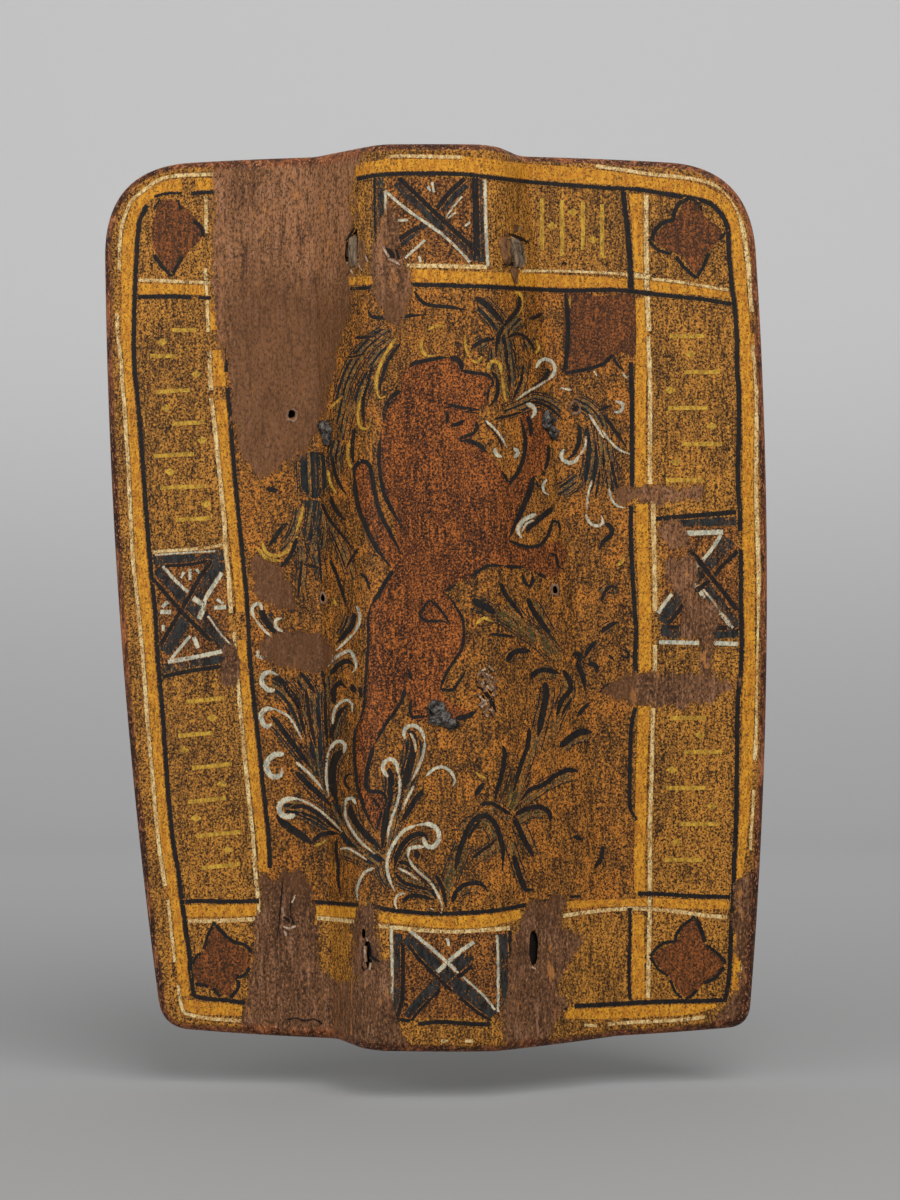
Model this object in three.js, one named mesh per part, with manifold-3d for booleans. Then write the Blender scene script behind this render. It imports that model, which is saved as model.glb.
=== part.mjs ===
// A hand pavise: a small painted foot soldier's shield with a hollow ridge down its middle.
// Seven glued wooden staves are covered with hide, in front and behind, and painted in front.
// A wooden T handle bridges the hollow, and two rawhide thongs cross it near top and bottom.
//
// Millimetres. X runs across the shield, Z points up and the painted face looks along -Y.
// The origin is the middle of the hand grip.
import * as THREE from "three";
import { mergeVertices } from "three/addons/utils/BufferGeometryUtils.js";
import Module from "manifold-3d";

const wasm = await Module();
wasm.setup();

// Outline, seen from the front: the width across the top before its corners are rounded,
// how far the sides lean in below, and how far along its sides each corner is rounded
const outline = {
  width: 406,
  gripFromLeft: 209,
  leftLean: 39,
  rightLean: 4,
  top: 228.8,
  bottomLeftDrop: 304,
  bottomRightDrop: 303.5,
  leftBulge: 7,
  rightBulge: 8.6,
  topBulge: 3,
  bottomBulge: 5.5,
  leastReach: 9,
  topLeft: { reach: 58 },
  topRight: { reach: 55 },
  bottomLeft: { reach: 18 },
  bottomRight: { reach: 14 },
};
outline.topLeft.x = -outline.gripFromLeft;
outline.topRight.x = outline.width - outline.gripFromLeft;
outline.bottomLeft.x = outline.topLeft.x + outline.leftLean;
outline.bottomRight.x = outline.topRight.x - outline.rightLean;

// Layers, from the painted face to the back
const layer = { ground: 0.8, frontHide: 1.6, core: 9, backHide: 1.4 };
const turnover = 16; // how far the front hide is folded over onto the back
const groundWrapSteps = 3; // how many of the rim's steps the paint goes round

// The wings sweep back, and the hollow ridge stands forward
const sweep = 16;
const ridge = {
  height: 40,
  baseRadius: 14,
  crestRadius: 18,
  leftBase: { top: -80, bottom: -68 },
  leftCrest: { top: -26, bottom: -28 },
  rightCrest: { top: 20, bottom: 30 },
  rightBase: { top: 58, bottom: 114 },
};
const steepestFlank = THREE.MathUtils.degToRad(68);

// Glue lines between the staves, from left to right: those of the ridge, and one in each wing,
// at a share of the way from the ridge's stave to the outline
const ridgeJoints = { leftFlank: -96, crestLeft: -30, crestRight: 34, rightFlank: 102 };
const wingJointShares = { left: 0.5, right: 0.55 };
const staveJoints = [
  THREE.MathUtils.lerp(ridgeJoints.leftFlank, outline.topLeft.x, wingJointShares.left),
  ...Object.values(ridgeJoints),
  THREE.MathUtils.lerp(ridgeJoints.rightFlank, outline.topRight.x, wingJointShares.right),
];
const staveNames = [
  "stave_left_outer",
  "stave_left_middle",
  "stave_left_flank",
  "stave_crest",
  "stave_right_flank",
  "stave_right_middle",
  "stave_right_outer",
];

// Handle
const crossbar = { centre: 65.5, height: 24, depth: 18, beyondNail: 24, edge: 2.5 };
const stem = { width: 26, depth: 18, edge: 4, proud: 3, straight: 50, fall: 48, foot: 32, footDepth: 15 };
const grip = { halfLength: 42, leather: 2, corner: 6 };
const peg = { diameter: 7, proud: 1.5 };

// Iron nails, driven from behind and clinched on the painted face
const nail = {
  shank: 5,
  head: 15,
  headRise: 4,
  clinchLength: 12,
  clinchWidth: 6.5,
  clinchThickness: 3.2,
  knuckle: 5.5,
};
const nailPlaces = {
  nail_left: { x: -68.9, z: 63.3, turn: THREE.MathUtils.degToRad(25) },
  nail_right: { x: 66.4, z: 67.7, turn: THREE.MathUtils.degToRad(40) },
  nail_foot: { x: 1.8, z: -110.7, turn: THREE.MathUtils.degToRad(60) },
};

// Holes that go through the whole wall
const rivetHole = 5.2;
const rivetPlaces = {
  upper_left: { x: -89.2, z: 73.8 },
  upper_right: { x: 84.9, z: 78.1 },
  lower_left: { x: -70.1, z: -38.7 },
  lower_right: { x: 72.6, z: -33.8 },
};
const tornHole = { x: 30.7, z: -95.3, length: 9, width: 3.6, turn: THREE.MathUtils.degToRad(40) };

// Rawhide thongs: each end goes doubled through a slot, and some ends stand proud of the face
const thong = { thickness: 2.5, width: 17.5, room: 0.7 };
const slot = { fromTop: 52.8, fromBottom: 50, endShare: 0.3 };
slot.width = 2 * (thong.thickness + thong.room);
slot.length = thong.width + 2 * slot.width * slot.endShare;
const thongPlaces = {
  thong_upper: { leftX: -52.3, leftProud: -1, rightX: 48, rightProud: 6 },
  thong_lower: { leftX: -42.4, leftProud: 1, rightX: 59, rightProud: -8 },
};
thongPlaces.thong_upper.z = outline.top - slot.fromTop;
thongPlaces.thong_lower.z = slot.fromBottom - outline.bottomLeftDrop;

// Places where the paint and its ground have come off, as shares of the outline's reach.
// Across, 1 is the top corner of that side, and upright, 1 is the top or the bottom edge.
const lossShares = {
  upperStrip: [
    [-0.69, 1.1], [-0.67, 0.62], [-0.65, 0.5], [-0.52, 0.3], [-0.37, 0.36], [-0.28, 0.62], [-0.27, 1.1],
  ],
  lowerStrip: [
    [-0.58, -1.1], [-0.53, -0.73], [-0.43, -0.67], [-0.4, -0.76], [-0.36, -0.9], [-0.14, -0.97], [-0.13, -1.1],
  ],
  lowerRidge: [
    [0.19, -1.1], [0.2, -0.97], [0.25, -0.88], [0.25, -0.77], [0.36, -0.74], [0.42, -0.8], [0.35, -0.92],
    [0.36, -1.1],
  ],
  lowerRim: [
    [0.93, -1.1], [0.93, -0.94], [0.945, -0.8], [0.955, -0.72], [1.1, -0.7], [1.1, -1.1],
  ],
};

// Clearances: glued and seated faces, parts that pass through a hole, and the overrun of a cut
const fit = { glue: 0.3, seat: 0.3, pass: 0.35, overrun: 20 };

// How finely the curved sheets are divided
const division = { corner: 3, side: 4, wing: 3, flank: 8, crest: 2, rim: 4, loss: 4, bend: 7, hole: 4 };
const flankSamples = 80;
const slopeProbe = 0.05;
const lineDecay = 9;

// Depths from the middle of the staves, towards the face or the back
const half = layer.core / 2;
const depth = {
  hideInner: half + fit.glue,
  hideOuter: half + fit.glue + layer.frontHide,
  groundInner: half + fit.glue + layer.frontHide + fit.glue,
  face: half + fit.glue + layer.frontHide + fit.glue + layer.ground,
  backHide: half + fit.glue + layer.backHide,
};
const reachAcross = Math.max(-outline.topLeft.x, outline.topRight.x);
const lowest = Math.max(outline.bottomLeftDrop, outline.bottomRightDrop);
const wingY = -(crossbar.depth / 2 + fit.seat + depth.backHide);

const colours = {
  wood: 0xb08a5a,
  oldWood: 0x7d5a38,
  hide: 0x6b4a33,
  backHide: 0x8a6a48,
  ground: 0x9a6224,
  iron: 0x3b3a3c,
  rawhide: 0x8c7350,
  leather: 0x4a2e20,
};

const pavise = new THREE.Group();
pavise.name = "hand_pavise";

function addPiece(name, geometry, colour, roughness, metalness = 0) {
  const bare = new THREE.BufferGeometry();
  bare.setAttribute("position", geometry.getAttribute("position"));
  if (geometry.index) {
    bare.setIndex(geometry.index);
  }
  const flat = bare.index ? bare.toNonIndexed() : bare;
  flat.computeVertexNormals();
  const mesh = new THREE.Mesh(flat, new THREE.MeshStandardMaterial({ color: colour, roughness, metalness }));
  mesh.name = name;
  pavise.add(mesh);
  return mesh;
}

// Solids for cutting and joining
function toSolid(geometry) {
  const bare = geometry.clone();
  bare.deleteAttribute("normal");
  bare.deleteAttribute("uv");
  const merged = mergeVertices(bare, 1e-4);
  return new wasm.Manifold(
    new wasm.Mesh({
      numProp: 3,
      vertProperties: new Float32Array(merged.attributes.position.array),
      triVerts: new Uint32Array(merged.index.array),
    }),
  );
}

function toGeometry(solid) {
  const mesh = solid.getMesh();
  const geometry = new THREE.BufferGeometry();
  geometry.setAttribute("position", new THREE.BufferAttribute(mesh.vertProperties, mesh.numProp));
  geometry.setIndex(new THREE.BufferAttribute(mesh.triVerts, 1));
  return geometry;
}

// The middle surface of the staves

// One flank of the ridge: an arc at the base, a straight slope and an arc at the crest.
function flankRise(along, width) {
  const roomForArcs = (width - ridge.height / Math.tan(steepestFlank)) / Math.tan(steepestFlank / 2);
  const bothRadii = Math.min(ridge.baseRadius + ridge.crestRadius, roomForArcs);
  const squared = width * width - ridge.height * (2 * bothRadii - ridge.height);
  const angle = 2 * Math.atan(ridge.height / (width + Math.sqrt(squared)));
  const radiusShare = bothRadii / (ridge.baseRadius + ridge.crestRadius);
  const baseRadius = ridge.baseRadius * radiusShare;
  const crestRadius = ridge.crestRadius * radiusShare;
  const left = width - along;
  if (along <= 0) {
    return 0;
  }
  if (left <= 0) {
    return ridge.height;
  }
  if (along < baseRadius * Math.sin(angle)) {
    return baseRadius - Math.sqrt(baseRadius ** 2 - along ** 2);
  }
  if (left < crestRadius * Math.sin(angle)) {
    return ridge.height - crestRadius + Math.sqrt(crestRadius ** 2 - left ** 2);
  }
  return baseRadius * (1 - Math.cos(angle)) + (along - baseRadius * Math.sin(angle)) * Math.tan(angle);
}

// Where one of the ridge's four lines runs at a height.
function lineAt(line, z) {
  return THREE.MathUtils.lerp(line.top, line.bottom, (outline.top - z) / (outline.top + lowest));
}

function wingSweep(x) {
  return sweep * (x / reachAcross) ** 2;
}

function middleY(x, z) {
  const leftBase = lineAt(ridge.leftBase, z);
  const rightBase = lineAt(ridge.rightBase, z);
  const fromLeft = flankRise(x - leftBase, lineAt(ridge.leftCrest, z) - leftBase);
  const fromRight = flankRise(rightBase - x, rightBase - lineAt(ridge.rightCrest, z));
  return wingY + wingSweep(x) - Math.min(fromLeft, fromRight);
}

// The direction square to the surface, towards the painted face.
function faceNormal(x, z) {
  const acrossSlope = (middleY(x + slopeProbe, z) - middleY(x - slopeProbe, z)) / (2 * slopeProbe);
  const upSlope = (middleY(x, z + slopeProbe) - middleY(x, z - slopeProbe)) / (2 * slopeProbe);
  return new THREE.Vector3(acrossSlope, -1, upSlope).normalize();
}

// A point at a depth: positive towards the face, negative towards the back.
function surfacePoint(x, z, depthHere) {
  return new THREE.Vector3(x, middleY(x, z), z).addScaledVector(faceNormal(x, z), depthHere);
}

// Where a line along Y meets the sheet at a depth, found by stepping the foot point.
function depthY(x, z, depthHere) {
  const foot = new THREE.Vector2(x, z);
  let point = surfacePoint(foot.x, foot.y, depthHere);
  for (let step = 0; step < 30; step += 1) {
    foot.x += (x - point.x) / 2;
    foot.y += (z - point.z) / 2;
    point = surfacePoint(foot.x, foot.y, depthHere);
  }
  return point.y;
}

// The outline, as a rounded four-sided path

function sideCurve(from, to, bulge) {
  const outward = new THREE.Vector2(to.y - from.y, from.x - to.x).normalize();
  const control = from.clone().lerp(to, 0.5).addScaledVector(outward, 2 * bulge);
  return new THREE.QuadraticBezierCurve(from, control, to);
}

// The rounded corner between two sides, tangent to both.
function cornerCurve(before, after) {
  const start = before.getPoint(1);
  const finish = after.getPoint(0);
  const heading = before.getTangent(1);
  const leaving = after.getTangent(0);
  const gap = finish.clone().sub(start);
  const along = gap.cross(leaving) / heading.cross(leaving);
  return new THREE.QuadraticBezierCurve(start, start.clone().addScaledVector(heading, along), finish);
}

const cornerOrder = ["bottomLeft", "bottomRight", "topRight", "topLeft"];
const cornerAt = {
  bottomLeft: new THREE.Vector2(outline.bottomLeft.x, -outline.bottomLeftDrop),
  bottomRight: new THREE.Vector2(outline.bottomRight.x, -outline.bottomRightDrop),
  topRight: new THREE.Vector2(outline.topRight.x, outline.top),
  topLeft: new THREE.Vector2(outline.topLeft.x, outline.top),
};

// The four sides and the four corners of the outline, or of a like one moved in from its edge.
function outlineCurves(inset) {
  const corners = cornerOrder.map((name, index) => {
    const at = cornerAt[name];
    const ahead = cornerAt[cornerOrder[(index + 1) % 4]].clone().sub(at).normalize();
    const behind = cornerAt[cornerOrder[(index + 3) % 4]].clone().sub(at).normalize();
    const step = inset / Math.abs(ahead.cross(behind));
    return {
      at: at.clone().addScaledVector(ahead, step).addScaledVector(behind, step),
      reach: Math.max(outline[name].reach - inset, outline.leastReach),
    };
  });
  const bulges = [outline.bottomBulge, outline.rightBulge, outline.topBulge, outline.leftBulge];
  const sides = corners.map((corner, index) => {
    const next = corners[(index + 1) % 4];
    const along = next.at.clone().sub(corner.at).normalize();
    const from = corner.at.clone().addScaledVector(along, corner.reach);
    const to = next.at.clone().addScaledVector(along, -next.reach);
    return sideCurve(from, to, bulges[index]);
  });
  const rounds = sides.map((curve, index) => cornerCurve(curve, sides[(index + 1) % 4]));
  return { sides, rounds };
}

const edgeCurves = outlineCurves(0);
const [bottomSide, rightSide, topSide, leftSide] = edgeCurves.sides;
const [cornerBR, cornerTR, cornerTL, cornerBL] = edgeCurves.rounds;

// A grid over the outline: its columns follow the ridge's lines

// The place on a side curve whose x is given.
function shareAtX(curve, x) {
  const rising = curve.getPoint(1).x > curve.getPoint(0).x;
  let low = 0;
  let high = 1;
  for (let step = 0; step < 40; step += 1) {
    const middle = (low + high) / 2;
    if (curve.getPoint(middle).x < x === rising) {
      low = middle;
    } else {
      high = middle;
    }
  }
  return (low + high) / 2;
}

// Shares of a flank's width, from its base, that split its curved length evenly.
function flankShares(width) {
  const lengths = [0];
  for (let step = 1; step <= flankSamples; step += 1) {
    const before = flankRise((width * (step - 1)) / flankSamples, width);
    const here = flankRise((width * step) / flankSamples, width);
    lengths.push(lengths[step - 1] + Math.hypot(width / flankSamples, here - before));
  }
  const shares = [];
  for (let step = 1; step <= division.flank; step += 1) {
    const wanted = (lengths[flankSamples] * step) / division.flank;
    const after = lengths.findIndex((length) => length >= wanted);
    const part = (wanted - lengths[after - 1]) / (lengths[after] - lengths[after - 1]);
    shares.push((after - 1 + part) / flankSamples);
  }
  return shares;
}

// The columns' x along the straight part of the top or the bottom, from left to right.
function columnPlaces(curve, z) {
  const [start, end] = [curve.getPoint(0).x, curve.getPoint(1).x].sort((a, b) => a - b);
  const leftBase = lineAt(ridge.leftBase, z);
  const leftCrest = lineAt(ridge.leftCrest, z);
  const rightCrest = lineAt(ridge.rightCrest, z);
  const rightBase = lineAt(ridge.rightBase, z);
  const rightShares = flankShares(rightBase - rightCrest);
  return [
    ...evenShares(start, leftBase, division.wing, true),
    ...flankShares(leftCrest - leftBase).map((share) => leftBase + share * (leftCrest - leftBase)),
    ...evenShares(leftCrest, rightCrest, division.crest, true).slice(1),
    ...rightShares.map((share) => rightBase - share * (rightBase - rightCrest)).reverse().slice(1),
    ...evenShares(rightBase, end, division.wing, true),
  ];
}

function evenShares(from, to, count, keepLast) {
  const shares = [];
  for (let step = 0; step < count + (keepLast ? 1 : 0); step += 1) {
    shares.push(THREE.MathUtils.lerp(from, to, step / count));
  }
  return shares;
}

// Points and outward directions along one edge of the grid, from one corner's middle to the next.
function edgePoints(stretches) {
  const points = [];
  for (const { curve, shares } of stretches) {
    for (const share of shares) {
      const tangent = curve.getTangent(share);
      points.push({ at: curve.getPoint(share), out: new THREE.Vector2(tangent.y, -tangent.x) });
    }
  }
  return points;
}

const secondHalf = () => evenShares(0.5, 1, division.corner, false);
const firstHalf = () => evenShares(0, 0.5, division.corner, true).slice(1);
const bottomShares = columnPlaces(bottomSide, -lowest).map((x) => shareAtX(bottomSide, x));
const topShares = columnPlaces(topSide, outline.top).map((x) => shareAtX(topSide, x)).reverse();

const edges = {
  bottom: edgePoints([
    { curve: cornerBL, shares: secondHalf() },
    { curve: bottomSide, shares: bottomShares },
    { curve: cornerBR, shares: firstHalf() },
  ]),
  right: edgePoints([
    { curve: cornerBR, shares: secondHalf() },
    { curve: rightSide, shares: evenShares(0, 1, division.side, true) },
    { curve: cornerTR, shares: firstHalf() },
  ]),
  top: edgePoints([
    { curve: cornerTR, shares: secondHalf() },
    { curve: topSide, shares: topShares },
    { curve: cornerTL, shares: firstHalf() },
  ]).reverse(),
  left: edgePoints([
    { curve: cornerTL, shares: secondHalf() },
    { curve: leftSide, shares: evenShares(0, 1, division.side, true) },
    { curve: cornerBL, shares: firstHalf() },
  ]).reverse(),
};
const columns = edges.bottom.length - 1;
const rows = edges.left.length - 1;

function insetPoint(edgePoint, inset) {
  return edgePoint.at.clone().addScaledVector(edgePoint.out, -inset);
}

// The points across and up of the grid that every layer shares, inside the rounded rim.
function gridPoints() {
  const moved = {};
  for (const name of Object.keys(edges)) {
    moved[name] = edges[name].map((edgePoint) => insetPoint(edgePoint, depth.face));
  }
  const grid = [];
  for (let row = 0; row <= rows; row += 1) {
    const left = moved.left[row];
    const right = moved.right[row];
    const up = (left.y - moved.left[0].y) / (moved.left[rows].y - moved.left[0].y);
    const leftChord = moved.bottom[0].clone().lerp(moved.top[0], up);
    const rightChord = moved.bottom[columns].clone().lerp(moved.top[columns], up);
    const line = [];
    for (let column = 0; column <= columns; column += 1) {
      const across = column / columns;
      const point = moved.bottom[column].clone().lerp(moved.top[column], up);
      point.addScaledVector(left.clone().sub(leftChord), (1 - across) ** lineDecay);
      point.addScaledVector(right.clone().sub(rightChord), across ** lineDecay);
      line.push(point);
    }
    grid.push(line);
  }
  return grid;
}

const sharedGrid = gridPoints();

// The outer points of a grid in order: along the bottom, up the right, back along the top.
function loopOf(grid) {
  const loop = [];
  for (let column = 0; column < columns; column += 1) {
    loop.push(grid[0][column]);
  }
  for (let row = 0; row < rows; row += 1) {
    loop.push(grid[row][columns]);
  }
  for (let column = columns; column > 0; column -= 1) {
    loop.push(grid[rows][column]);
  }
  for (let row = rows; row > 0; row -= 1) {
    loop.push(grid[row][0]);
  }
  return loop;
}

const edgeLoop = [
  ...edges.bottom.slice(0, -1),
  ...edges.right.slice(0, -1),
  ...edges.top.slice(1).reverse(),
  ...edges.left.slice(1).reverse(),
];

// A closed sheet: the shared grid at the first depth, rings round the rim, and the shared grid
// again at the last depth. A ring is an inset from the outline and a depth.
function sheetGeometry(firstDepth, rings, lastDepth) {
  const positions = [];
  const triangles = [];
  const addPoint = (point, depthHere) => {
    positions.push(...surfacePoint(point.x, point.y, depthHere).toArray());
    return positions.length / 3 - 1;
  };
  const addQuad = (a, b, c, d) => triangles.push(a, b, c, a, c, d);
  const addGrid = (depthHere, facesFront) => {
    const numbers = sharedGrid.map((line) => line.map((point) => addPoint(point, depthHere)));
    for (let row = 0; row < rows; row += 1) {
      for (let column = 0; column < columns; column += 1) {
        const [a, b, c, d] = [
          numbers[row][column],
          numbers[row][column + 1],
          numbers[row + 1][column + 1],
          numbers[row + 1][column],
        ];
        if (facesFront) {
          addQuad(a, b, c, d);
        } else {
          addQuad(c, b, a, d);
        }
      }
    }
    return loopOf(numbers);
  };
  const joinLoops = (inner, outer) => {
    outer.forEach((number, index) => {
      const next = (index + 1) % outer.length;
      addQuad(number, outer[next], inner[next], inner[index]);
    });
  };
  let previous = addGrid(firstDepth, true);
  for (const ring of rings) {
    const numbers = edgeLoop.map((edgePoint) => addPoint(insetPoint(edgePoint, ring.inset), ring.depth));
    joinLoops(previous, numbers);
    previous = numbers;
  }
  joinLoops(previous, addGrid(lastDepth, false));
  const geometry = new THREE.BufferGeometry();
  geometry.setAttribute("position", new THREE.Float32BufferAttribute(positions, 3));
  geometry.setIndex(triangles);
  return geometry;
}

// Rings round the rim, from the face's side to the back: every layer's rim is an arc about
// the same line inside the edge, with its steps at the same angles.
function rimArc(radius, lastStep) {
  const rings = [];
  for (let step = 0; step <= lastStep; step += 1) {
    const angle = Math.PI * (0.5 - step / division.rim);
    rings.push({ inset: depth.face - radius * Math.cos(angle), depth: radius * Math.sin(angle) });
  }
  return rings;
}

// A whole layer's envelope, rounded at the rim, out to a distance from the staves' middle.
function pillow(radius) {
  return toSolid(sheetGeometry(radius, rimArc(radius, division.rim).slice(1, -1), -radius));
}

// A sheet without a rounded rim, between two depths.
function plainSheet(frontDepth, backDepth) {
  return toSolid(sheetGeometry(frontDepth, [], backDepth));
}

// Cutters that run along Y through the whole wall

const cutDepth = 2 * (ridge.height + sweep + fit.overrun + depth.face);

// An extrusion of a shape in X and Z, along Y, centred on the wall.
function cutterFrom(shape, x, z, turn = 0) {
  const geometry = new THREE.ExtrudeGeometry(shape, { depth: cutDepth, bevelEnabled: false, curveSegments: division.hole });
  geometry.translate(0, 0, -cutDepth / 2);
  geometry.rotateX(Math.PI / 2);
  geometry.rotateY(-turn);
  geometry.translate(x, 0, z);
  return toSolid(geometry);
}

function rectangle(width, height) {
  const shape = new THREE.Shape();
  shape.moveTo(-width / 2, -height / 2);
  shape.lineTo(width / 2, -height / 2);
  shape.lineTo(width / 2, height / 2);
  shape.lineTo(-width / 2, height / 2);
  shape.closePath();
  return shape;
}

// A slot with round ends, longer upright than across.
function roundSlot(width, length) {
  const radius = width / 2;
  const straight = length / 2 - radius;
  const shape = new THREE.Shape();
  shape.absarc(0, straight, radius, 0, Math.PI);
  shape.absarc(0, -straight, radius, Math.PI, 2 * Math.PI);
  shape.closePath();
  return shape;
}

function roundHole(diameter) {
  const shape = new THREE.Shape();
  shape.absarc(0, 0, diameter / 2, 0, 2 * Math.PI);
  return shape;
}

const wallCuts = [];
for (const place of Object.values(thongPlaces)) {
  for (const x of [place.leftX, place.rightX]) {
    wallCuts.push(cutterFrom(roundSlot(slot.width, slot.length), x, place.z));
  }
}
for (const place of Object.values(rivetPlaces)) {
  wallCuts.push(cutterFrom(roundHole(rivetHole), place.x, place.z));
}
for (const place of Object.values(nailPlaces)) {
  const size = nail.shank + 2 * fit.pass;
  wallCuts.push(cutterFrom(rectangle(size, size), place.x, place.z));
}
wallCuts.push(cutterFrom(roundSlot(tornHole.width, tornHole.length), tornHole.x, tornHole.z, tornHole.turn));

function pierced(solid) {
  return wallCuts.reduce((rest, cutter) => rest.subtract(cutter), solid);
}

// Staves

const core = pierced(pillow(half));
const staveEnds = [-reachAcross - fit.overrun, ...staveJoints, reachAcross + fit.overrun];
const tallest = outline.top + lowest + 2 * fit.overrun;
staveNames.forEach((name, index) => {
  const from = staveEnds[index] + fit.glue / 2;
  const to = staveEnds[index + 1] - fit.glue / 2;
  const slab = new THREE.BoxGeometry(to - from, cutDepth, tallest);
  slab.translate((from + to) / 2, 0, (outline.top - lowest) / 2);
  addPiece(name, toGeometry(core.intersect(toSolid(slab))), colours.wood, 0.8);
});

// Hides: the front one goes round the rim and is folded over onto the back

// The outline as a shape, moved in from the edge.
function outlineShape(inset) {
  const { sides, rounds } = outlineCurves(inset);
  const curves = sides.flatMap((curve, index) => [curve, rounds[index]]);
  return new THREE.Shape(curves.flatMap((curve) => curve.getPoints(division.corner * 2).slice(0, -1)));
}

const turnedIn = depth.face + turnover;
const behindStaves = plainSheet(-half / 2, -depth.backHide - fit.seat - layer.backHide);
const backOpening = behindStaves.intersect(cutterFrom(outlineShape(turnedIn), 0, 0));
const frontHide = pillow(depth.hideOuter).subtract(pillow(depth.hideInner)).subtract(backOpening);
addPiece("hide_front", toGeometry(pierced(frontHide)), colours.hide, 0.65);

const backHide = plainSheet(-depth.hideInner, -depth.backHide).intersect(
  cutterFrom(outlineShape(turnedIn + fit.glue), 0, 0),
);
addPiece("hide_back", toGeometry(pierced(backHide)), colours.backHide, 0.75);

// The painted ground, with the places where it has come off

function lossCutter(shares) {
  const points = shares.map(([across, up]) => {
    const sideReach = across < 0 ? -outline.topLeft.x : outline.topRight.x;
    const upReach = up < 0 ? lowest : outline.top;
    return new THREE.Vector2(across * sideReach, up * upReach);
  });
  const edge = new THREE.CatmullRomCurve3(
    points.map((point) => new THREE.Vector3(point.x, point.y, 0)),
    true,
  );
  const shape = new THREE.Shape(edge.getPoints(division.loss).slice(0, -1));
  return cutterFrom(shape, 0, 0);
}

const groundRings = [
  ...rimArc(depth.face, groundWrapSteps).slice(1),
  ...rimArc(depth.groundInner, groundWrapSteps).slice(1).reverse(),
];
const wholeGround = pierced(toSolid(sheetGeometry(depth.face, groundRings, depth.groundInner)));
const ground = Object.values(lossShares)
  .map(lossCutter)
  .reduce((rest, cutter) => rest.subtract(cutter), wholeGround);
addPiece("painted_ground", toGeometry(ground), colours.ground, 0.6);

// Handle: a crossbar seated on both wings, and a stem lapped into it that ends in the hollow

function extrusionAlongZ(shape, height, edge) {
  const geometry = new THREE.ExtrudeGeometry(shape, {
    depth: height - 2 * edge,
    bevelEnabled: edge > 0,
    bevelThickness: edge,
    bevelSize: edge,
    bevelOffset: -edge,
    bevelSegments: 2,
    curveSegments: 8,
  });
  geometry.translate(0, 0, edge - height / 2);
  return geometry;
}

const crossbarEnds = {
  left: nailPlaces.nail_left.x - crossbar.beyondNail,
  right: nailPlaces.nail_right.x + crossbar.beyondNail,
};
const crossbarBack = crossbar.depth / 2;
const lapHalf = stem.width / 2 + fit.pass;

// The seat follows the wing's back, and the span between the two seats is straight.
function crossbarShape() {
  const seatSteps = 3;
  const shape = new THREE.Shape();
  const seatY = (x) => -crossbarBack + wingSweep(x);
  const baseLeft = lineAt(ridge.leftBase, crossbar.centre);
  const baseRight = lineAt(ridge.rightBase, crossbar.centre);
  const seats = [
    [crossbarEnds.left, Math.max(baseLeft, crossbarEnds.left + crossbar.edge)],
    [Math.min(baseRight, crossbarEnds.right - crossbar.edge), crossbarEnds.right],
  ];
  shape.moveTo(crossbarEnds.left, crossbarBack);
  for (const [from, to] of seats) {
    for (let step = 0; step <= seatSteps; step += 1) {
      const x = THREE.MathUtils.lerp(from, to, step / seatSteps);
      shape.lineTo(x, seatY(x));
    }
  }
  shape.lineTo(crossbarEnds.right, crossbarBack);
  shape.lineTo(lapHalf, crossbarBack);
  shape.lineTo(lapHalf, -fit.glue / 2);
  shape.lineTo(-lapHalf, -fit.glue / 2);
  shape.lineTo(-lapHalf, crossbarBack);
  shape.closePath();
  return shape;
}

const pegCutter = (() => {
  const geometry = new THREE.CylinderGeometry(peg.diameter / 2 + fit.pass, peg.diameter / 2 + fit.pass, cutDepth, 16);
  geometry.translate(0, 0, crossbar.centre);
  return toSolid(geometry);
})();

const nailCutters = Object.values(nailPlaces).map((place) => {
  const size = nail.shank + 2 * fit.pass;
  return cutterFrom(rectangle(size, size), place.x, place.z);
});

const crossbarGeometry = extrusionAlongZ(crossbarShape(), crossbar.height, crossbar.edge);
crossbarGeometry.translate(0, 0, crossbar.centre);
const crossbarSolid = [pegCutter, ...nailCutters].reduce(
  (rest, cutter) => rest.subtract(cutter),
  toSolid(crossbarGeometry),
);
addPiece("handle_crossbar", toGeometry(crossbarSolid), colours.oldWood, 0.7);

// The stem's side, drawn in Y and Z: a lap tongue, the grip, a bend forward and a foot.
// The bend keeps its thickness, measured square to its middle line.
function stemShape() {
  const back = stem.depth / 2;
  const front = -stem.depth / 2;
  const top = crossbar.centre + crossbar.height / 2 + stem.proud;
  const shoulder = crossbar.centre - crossbar.height / 2 - fit.seat;
  const footFront = wingY - ridge.height + depth.backHide + fit.seat;
  const footMiddle = footFront + stem.footDepth / 2;
  const bendTop = -stem.straight;
  const footTop = bendTop - stem.fall;
  const footBottom = footTop - stem.foot;
  const bend = new THREE.CubicBezierCurve(
    new THREE.Vector2(0, bendTop),
    new THREE.Vector2(0, bendTop - stem.fall / 2),
    new THREE.Vector2(footMiddle, footTop + stem.fall / 2),
    new THREE.Vector2(footMiddle, footTop),
  );
  const bendSide = (towardsBack) => {
    const points = [];
    for (let step = 0; step <= division.bend; step += 1) {
      const share = step / division.bend;
      const tangent = bend.getTangent(share);
      const thickness = THREE.MathUtils.lerp(stem.depth, stem.footDepth, share);
      const outward = new THREE.Vector2(-tangent.y, tangent.x).multiplyScalar(towardsBack ? 1 : -1);
      points.push(bend.getPoint(share).addScaledVector(outward, thickness / 2));
    }
    return points;
  };
  return new THREE.Shape([
    new THREE.Vector2(back, top),
    new THREE.Vector2(fit.glue / 2, top),
    new THREE.Vector2(fit.glue / 2, shoulder),
    new THREE.Vector2(front, shoulder),
    ...bendSide(false),
    new THREE.Vector2(footFront, footBottom),
    new THREE.Vector2(footFront + stem.footDepth, footBottom),
    ...bendSide(true).reverse(),
  ]);
}

const stemGeometry = extrusionAlongZ(stemShape(), stem.width, stem.edge);
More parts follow.
